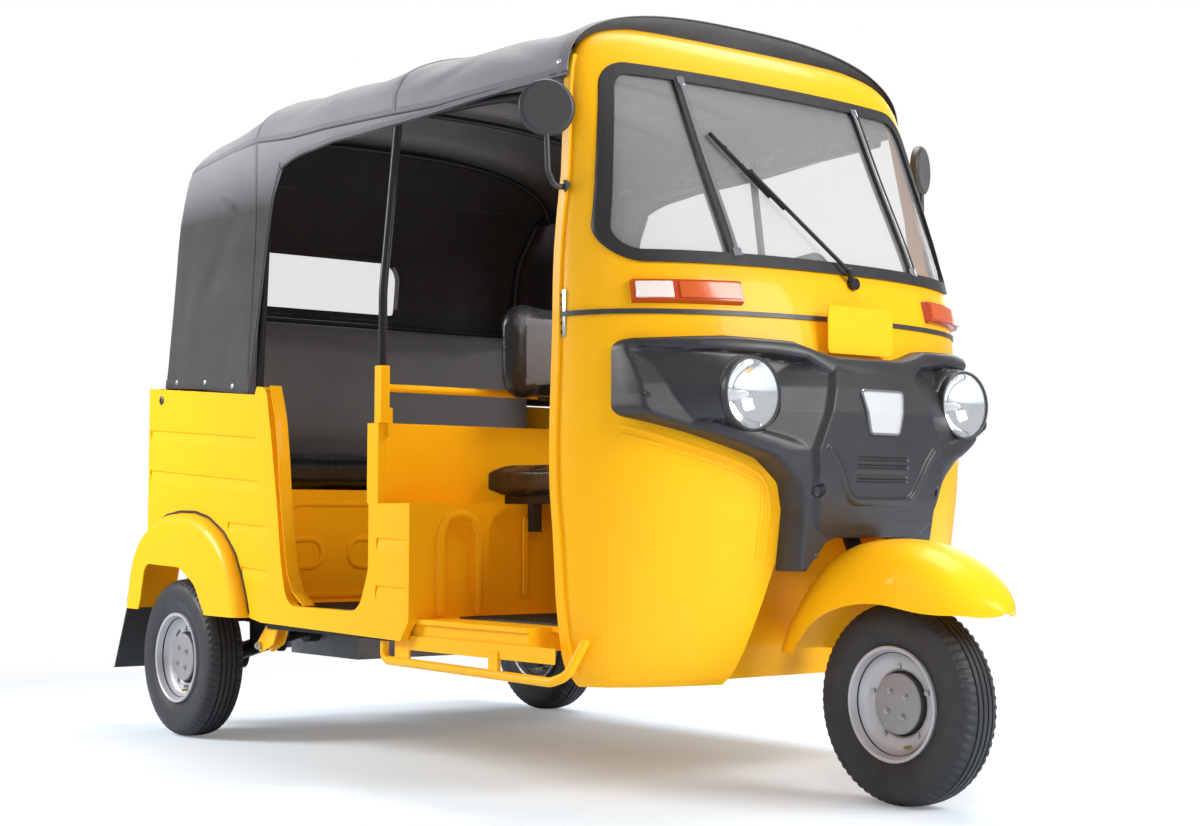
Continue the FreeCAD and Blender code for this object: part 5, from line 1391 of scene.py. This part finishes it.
def make_wiper_blade():
    """The blade's rubber and its claws, along the plain wiper's blade."""
    blade, claws = Shape(), Shape()
    tree = tree_of("windscreen_glass", "windscreen_seal", "cab_shell_upper")
    found = lay_ahead(tree, [between(WIPER_BLADE, t) for t in np.linspace(0, 1, 12)])
    line = [hit + normal * .008 for hit, normal in zip(*found)]
    bar(blade, line, .0048, 8)
    for k in (2, 5, 8):
        middle = (line[k] + line[k + 1]) / 2 + Vector((.010, 0, 0))
        bar(claws, [line[k], middle, line[k + 1]], .003, 8)
    put("wiper_blade_rubber", blade, "seal_rubber")
    put("wiper_claws", claws, "black_paint")


def make_mats():
    mats, ribs = Shape(), Shape()
    for start, end, half, top in FLOOR_MATS:
        block(mats, (start, -half, MAT_FOOT), (end, half, top), .001)
    for count, start, step, half, foot, top in FLOOR_RIBS:
        for k in range(count):
            x = start + step * k
            block(ribs, (x, -half, foot), (x + RIB_WIDE, half, top), .0006)
    put("floor_mats", mats, "seal_rubber", "mat_rubber")
    put("floor_mat_ribs", ribs, "seal_rubber", "mat_rubber")


# Stage, light and camera

FLOOR_HALF = 40.0
FLOOR_NEAR, FLOOR_FAR = 1.5, 3.6
# Each light's name, place, aim, size, watts and spread in degrees
LIGHTS = (
    ("key", (1.2, -5.0, 3.6), (0.1, 0, 0.8), (4.5, 2.5), 20, 180),
    ("front", (5.6, 1.4, 3.2), (0.6, 0, 0.8), (3.0, 2.5), 270, 180),
    ("top", (-0.3, 1.2, 4.8), (0, 0, 0.4), (3.2, 3.2), 205, 180),
    ("quarter", (-2.4, -3.0, 2.2), (-0.9, -0.6, 0.6), (1.6, 1.4), 26, 70),
    ("cab_fill", (0.36, 0.0, 1.42), (0.02, -0.2, 0.5), (0.3, 0.24), 6.0, 180),
    ("nose", (2.9, -2.0, 1.8), (1.1, -0.1, 0.45), (0.8, 0.6), 1.6, 30),
    ("far_side", (-2.5, 5.0, 3.0), (0, 0, 0.8), (3.5, 2.5), 90, 180),
)


def seen_directly(owner):
    """1 for what the camera sees, also through glass, and 0 for the light that falls on things."""
    path = add(owner, "ShaderNodeLightPath").outputs
    return calc(owner, "MAXIMUM", path["Is Camera Ray"], path["Is Transmission Ray"])


def make_stage():
    """A wide white floor that keeps the shadow and fades to plain white away from the vehicle."""
    mesh = bpy.data.meshes.new("floor_plane")
    corners = [(x * FLOOR_HALF, y * FLOOR_HALF, 0) for x, y in ((-1, -1), (1, -1), (1, 1), (-1, 1))]
    mesh.from_pydata(corners, [], [(0, 1, 2, 3)])
    floor_plane = bpy.data.objects.new("floor_plane", mesh)
    bpy.context.scene.collection.objects.link(floor_plane)
    material = principled("floor_white", (0.80, 0.90, 0.99), 0.9, specular=0.1)
    place = add(material, "ShaderNodeTexCoord").outputs["Object"]
    reach = add(material, "ShaderNodeVectorMath", {0: place}, operation="LENGTH").outputs["Value"]
    far = add(material, "ShaderNodeMapRange",
              {"Value": reach, "From Min": FLOOR_NEAR, "From Max": FLOOR_FAR, "To Min": 0.2},
              interpolation_type="SMOOTHSTEP").outputs["Result"]
    amount = calc(material, "MULTIPLY", far, seen_directly(material))
    white = add(material, "ShaderNodeEmission", {"Color": WHITE, "Strength": 1.0}).outputs[0]
    plain = material.node_tree.nodes["Principled BSDF"].outputs["BSDF"]
    mix = add(material, "ShaderNodeMixShader", {0: amount, 1: plain, 2: white}).outputs[0]
    feed(material.node_tree.nodes["Material Output"], {"Surface": mix})
    mesh.materials.append(material)


def make_world():
    """White where it is seen, and a softer light on the vehicle."""
    world = bpy.data.worlds.new("studio")
    bpy.context.scene.world = world
    world.use_nodes = True
    world.node_tree.nodes.clear()
    seen = add(world, "ShaderNodeBackground", {"Color": WHITE, "Strength": 1.0}).outputs[0]
    lit = add(world, "ShaderNodeBackground", {"Color": (0.95, 0.97, 1.0, 1), "Strength": 0.33}).outputs[0]
    mix = add(world, "ShaderNodeMixShader", {0: seen_directly(world), 1: lit, 2: seen}).outputs[0]
    add(world, "ShaderNodeOutputWorld", {"Surface": mix})


def area_light(name, at, toward, size, watts, spread):
    light = bpy.data.lights.new(name, "AREA")
    light.shape = "RECTANGLE"
    light.size = size[0]
    light.size_y = size[1]
    light.energy = watts
    light.spread = math.radians(spread)
    made = bpy.data.objects.new(name, light)
    made.location = at
    made.rotation_euler = (Vector(toward) - Vector(at)).to_track_quat("-Z", "Y").to_euler()
    made.visible_camera = False
    made.visible_transmission = False
    made.visible_glossy = size[0] > 1
    bpy.context.scene.collection.objects.link(made)


def make_camera():
    data = bpy.data.cameras.new("camera")
    data.sensor_width = SENSOR_MM
    data.sensor_fit = "HORIZONTAL"
    data.lens = LENS_MM
    data.clip_start = 0.05
    data.clip_end = 200
    camera = bpy.data.objects.new("camera", data)
    level = math.cos(CAMERA_PITCH)
    forward = Vector((level * math.cos(CAMERA_YAW), level * math.sin(CAMERA_YAW), math.sin(CAMERA_PITCH)))
    turn = forward.to_track_quat("-Z", "Y").to_matrix().to_4x4()
    roll = Matrix.Rotation(-CAMERA_ROLL, 4, "Z")
    camera.matrix_world = Matrix.Translation(CAMERA_AT) @ turn @ roll
    bpy.context.scene.collection.objects.link(camera)
    bpy.context.scene.camera = camera


# Each wheel's tyre, rim and body
WHEELS = (("front_tyre", "front_rim", "front_wheel"),
          ("rear_tyre_right", "rear_rim_right", "rear_wheel_right"),
          ("rear_tyre_left", "rear_rim_left", "rear_wheel_left"))

bpy.context.scene.view_settings.view_transform = "Standard"
paint_solids()
make_face_panel()
make_face_screws()
make_lamps()
make_hood()
for tyre, rim, wheel in WHEELS:
    make_tyre(tyre, wheel)
for tyre, rim, wheel in WHEELS:
    make_rim(rim, wheel)
make_pads()
make_indicators()
make_badge()
make_cab_trim()
make_screen_strips()
make_arch_line()
make_mats()
make_seat_base_presses()
make_face_surround()
make_pressings()
make_repainted("chassis", ["black_paint", "yellow_paint"],
               lambda x, y, z: int(abs(y) > .40 and x > .0 and z > .25))
make_wiper_blade()
make_repainted("wheelhouse", ["yellow_paint"])
make_stage()
make_world()
for light in LIGHTS:
    area_light(*light)
make_camera()
